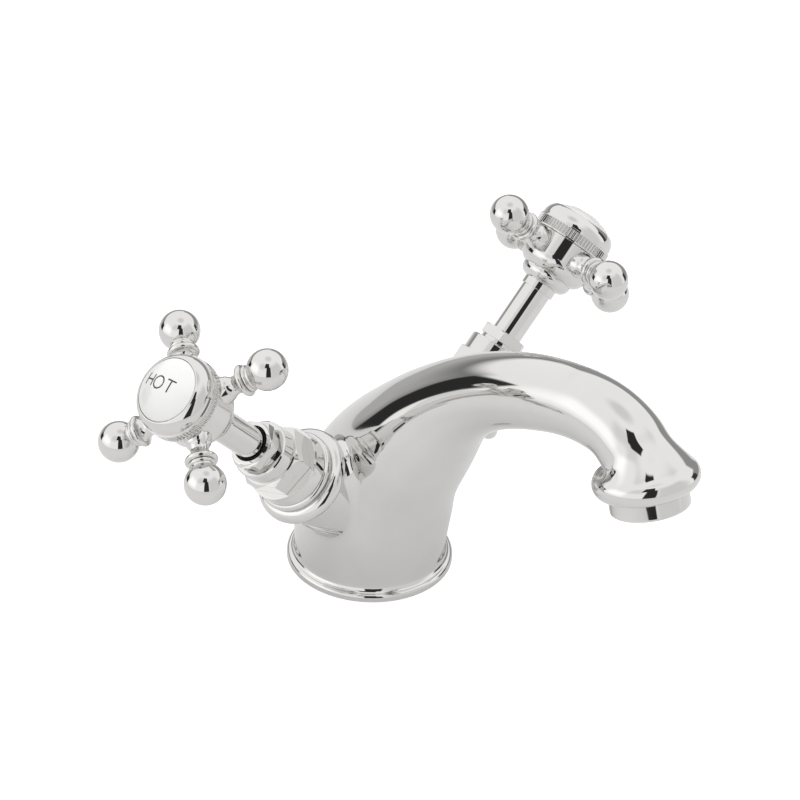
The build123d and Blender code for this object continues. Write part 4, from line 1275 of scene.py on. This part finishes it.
@dataclass(frozen=True)
class Studio:
    """A pale round table in a white tent with a dark gap behind the camera, and the camera; sizes in mm."""

    azimuth: float = -41.92
    elevation: float = 32.71
    roll: float = 2.56
    distance: float = 883.4
    target: tuple[float, float, float] = (-27.3, -42.2, 92.9)
    lens: float = 131.9
    floor_radius: float = 620.0
    tent_radius: float = 900.0
    tent_middle: tuple[float, float, float] = (0.0, -40.0, 90.0)
    cloth_level: float = 1.06

    def camera(self) -> None:
        """Sets the camera: back along its view direction from the target, then rolled about it."""
        az, el, roll = radians(self.azimuth), radians(self.elevation), radians(self.roll)
        back = np.array([sin(az) * cos(el), -cos(az) * cos(el), sin(el)])
        right = np.array([cos(az), sin(az), 0.0])
        up = np.cross(back, right)
        right, up = cos(roll) * right + sin(roll) * up, -sin(roll) * right + cos(roll) * up
        data = bpy.data.cameras.new("camera")
        data.lens, data.sensor_width = self.lens, 36.0
        data.clip_start, data.clip_end = 0.01, 20.0
        camera = bpy.data.objects.new("camera", data)
        bpy.context.scene.collection.objects.link(camera)
        spot = (np.array(self.target) + back * self.distance) * MM
        rows = np.column_stack([right, up, back, spot]).tolist()
        camera.matrix_world = Matrix([*rows, [0, 0, 0, 1]])
        bpy.context.scene.camera = camera

    def table(self) -> None:
        """The floor: a round pale table top that gives off some light, so that its shadow stays faint."""
        angle = np.arange(128) * 2 * pi / 128
        rim = self.floor_radius * MM * np.stack([np.cos(angle), np.sin(angle), np.zeros(128)], 1)
        rim[:, 2] = -0.02 * MM
        mesh = bpy.data.meshes.new("table")
        mesh.from_pydata(rim.tolist(), [], [list(range(128))])
        material, tree, _ = new_material("pale_table")
        ray = node(tree, "ShaderNodeLightPath")
        pale = node(tree, "ShaderNodeBsdfDiffuse", {"Color": linear("b4b4b4")})
        seen = node(
            tree, "ShaderNodeMapRange", {"To Min": 0.30, "To Max": 0.78},
            {"Value": ray.outputs["Is Camera Ray"]},
        )
        glow = node(tree, "ShaderNodeEmission", {"Color": linear("ffffff")}, {"Strength": seen.outputs[0]})
        both = node(tree, "ShaderNodeAddShader", links={0: pale.outputs[0], 1: glow.outputs[0]})
        node(tree, "ShaderNodeOutputMaterial", links={"Surface": both.outputs[0]})
        mesh.materials.append(material)
        table = bpy.data.objects.new("table", mesh)
        bpy.context.scene.collection.objects.link(table)

    def tent(self) -> None:
        """The tent: a dome of lit white cloth round the table, and a plain pale world for the camera.

        Its cloth has the patches listed above, placed by bearing and height as seen from the dome's middle.
        """
        world = bpy.data.worlds.new("pale_room")
        bpy.context.scene.world = world
        world.use_nodes = True
        world.node_tree.nodes.clear()
        room = node(world.node_tree, "ShaderNodeBackground", {"Color": linear("ffffff"), "Strength": 1.05})
        node(world.node_tree, "ShaderNodeOutputWorld", links={"Surface": room.outputs[0]})
        turn, rise = np.arange(96) * 2 * pi / 96, np.linspace(-pi / 2, pi / 2, 49)[:, None]
        high = np.broadcast_to(np.sin(rise), (49, 96))
        ball = np.stack([np.cos(rise) * np.cos(turn), np.cos(rise) * np.sin(turn), high], 2).reshape(-1, 3)
        places = (np.array(self.tent_middle) + self.tent_radius * ball) * MM
        index = np.arange(49 * 96).reshape(49, 96)
        rolled = np.roll(index, -1, 1)
        quads = np.stack([index[:-1], rolled[:-1], rolled[1:], index[1:]], 2).reshape(-1, 4)
        mesh = bpy.data.meshes.new("tent")
        mesh.from_pydata(places.tolist(), [], quads.tolist())
        mesh.materials.append(self.cloth())
        dome = bpy.data.objects.new("tent", mesh)
        dome.visible_camera = False
        bpy.context.scene.collection.objects.link(dome)

    def cloth(self) -> Material:
        """The tent's lit cloth as light given off: each patch is mixed in where four smooth steps overlap."""
        material, tree, place = new_material("lit_tent_cloth")
        middle = [c * MM for c in self.tent_middle]
        offset = node(tree, "ShaderNodeVectorMath", {"operation": "SUBTRACT", 1: middle}, {0: place})
        turned = node(
            tree, "ShaderNodeVectorRotate", {"rotation_type": "Z_AXIS", "Angle": radians(90 - self.azimuth)},
            {"Vector": offset.outputs[0]},
        )
        unit = node(tree, "ShaderNodeVectorMath", {"operation": "NORMALIZE"}, {0: turned.outputs[0]})
        part = node(tree, "ShaderNodeSeparateXYZ", links={0: unit.outputs[0]})

        def sum_up(operation: str, first: object, second: object = None) -> bpy.types.NodeSocket:
            """One arithmetic step on sockets or numbers."""
            made = node(tree, "ShaderNodeMath", {"operation": operation})
            for slot_number, value in enumerate((first, second)):
                if isinstance(value, bpy.types.NodeSocket):
                    tree.links.new(value, made.inputs[slot_number])
                elif value is not None:
                    made.inputs[slot_number].default_value = value
            return made.outputs[0]

        def ramp(value: bpy.types.NodeSocket, low: float, high: float) -> bpy.types.NodeSocket:
            """Rises smoothly from 0 at low to 1 at high; falls if low is the larger."""
            made = node(
                tree, "ShaderNodeMapRange",
                {"interpolation_type": "SMOOTHSTEP", "From Min": low, "From Max": high}, {"Value": value},
            )
            return made.outputs[0]
        deg = 180 / pi
        bearing = sum_up("MULTIPLY", sum_up("ARCTAN2", part.outputs[1], part.outputs[0]), deg)
        height = sum_up("MULTIPLY", sum_up("ARCSINE", part.outputs[2]), deg)
        level: object = self.cloth_level
        for patch in TENT_PATCHES:
            mask = ramp(height, patch.low - patch.soft, patch.low + patch.soft)
            for value, near, away in (
                (height, patch.high + patch.soft, patch.high - patch.soft),
                (bearing, patch.left - patch.soft, patch.left + patch.soft),
                (bearing, patch.right + patch.soft, patch.right - patch.soft),
            ):
                mask = sum_up("MULTIPLY", mask, ramp(value, near, away))
            kept = sum_up("MULTIPLY", level, sum_up("SUBTRACT", 1.0, mask))
            level = sum_up("ADD", kept, sum_up("MULTIPLY", mask, patch.level))
        glow = node(tree, "ShaderNodeEmission", {"Color": linear("ffffff")}, {"Strength": level})
        node(tree, "ShaderNodeOutputMaterial", links={"Surface": glow.outputs[0]})
        return material

    def light(self) -> None:
        """One large soft panel high in front, for a gentle fall-off down the object."""
        data = bpy.data.lights.new("front_panel", "AREA")
        data.shape, data.size, data.size_y, data.energy = "RECTANGLE", 0.9, 0.6, 3.0
        panel = bpy.data.objects.new("front_panel", data)
        bpy.context.scene.collection.objects.link(panel)
        panel.matrix_world = Matrix.Translation((0.0, -0.1, 0.8))
        panel.visible_glossy = False

    def build(self) -> None:
        """Sets camera, table, tent and light."""
        bpy.context.scene.view_settings.view_transform = "Standard"
        self.camera()
        self.table()
        self.tent()
        self.light()


# ------------------------------------------------------------------ assembly
def dress_machined_parts(finishes: dict[str, Material]) -> None:
    """Gives every machined part that stays in view its finish, by its record slot.

    Args:
        finishes: materials by slot name.
    """
    slots = {part["node"]: part["material_slot"] for part in frame["record"]["subparts"]}
    for name, part in frame["nodes"].items():
        part.data.materials.clear()
        part.data.materials.append(finishes[slots[name]])


def main() -> None:
    """Builds the mixer and its studio, and reports each piece."""
    logging.basicConfig(level=logging.INFO, format="%(name)s %(message)s")
    Studio().build()
    plate, glaze, enamel = PolishedPlate().build(), INDEX_GLAZE.build(), LETTER_ENAMEL.build()
    dress_machined_parts({
        "chrome": plate, "index_glaze": glaze, "rubber": SEAL_RUBBER.build(),
        "ceramic_disc": DISC_ALUMINA.build(),
        "brass": TURNED_BRASS.build(), "steel": PLAIN_STEEL.build(), "nylon": FLOW_ACETAL.build(),
    })
    casting = Casting()
    casting.build(plate)
    Aerator().build(casting, plate)
    Valve(Side.HOT, hex_turn=81.0, gland_turn=82.0).build(plate)
    Valve(Side.COLD, hex_turn=63.0, gland_turn=63.0).build(plate)
    Handle(Side.HOT, 52.8, "HOT", 7.8).build(plate, glaze, enamel)
    Handle(Side.COLD, 77.4, "COLD", 212.4).build(plate, glaze, enamel)


if __name__ == "__main__":
    main()
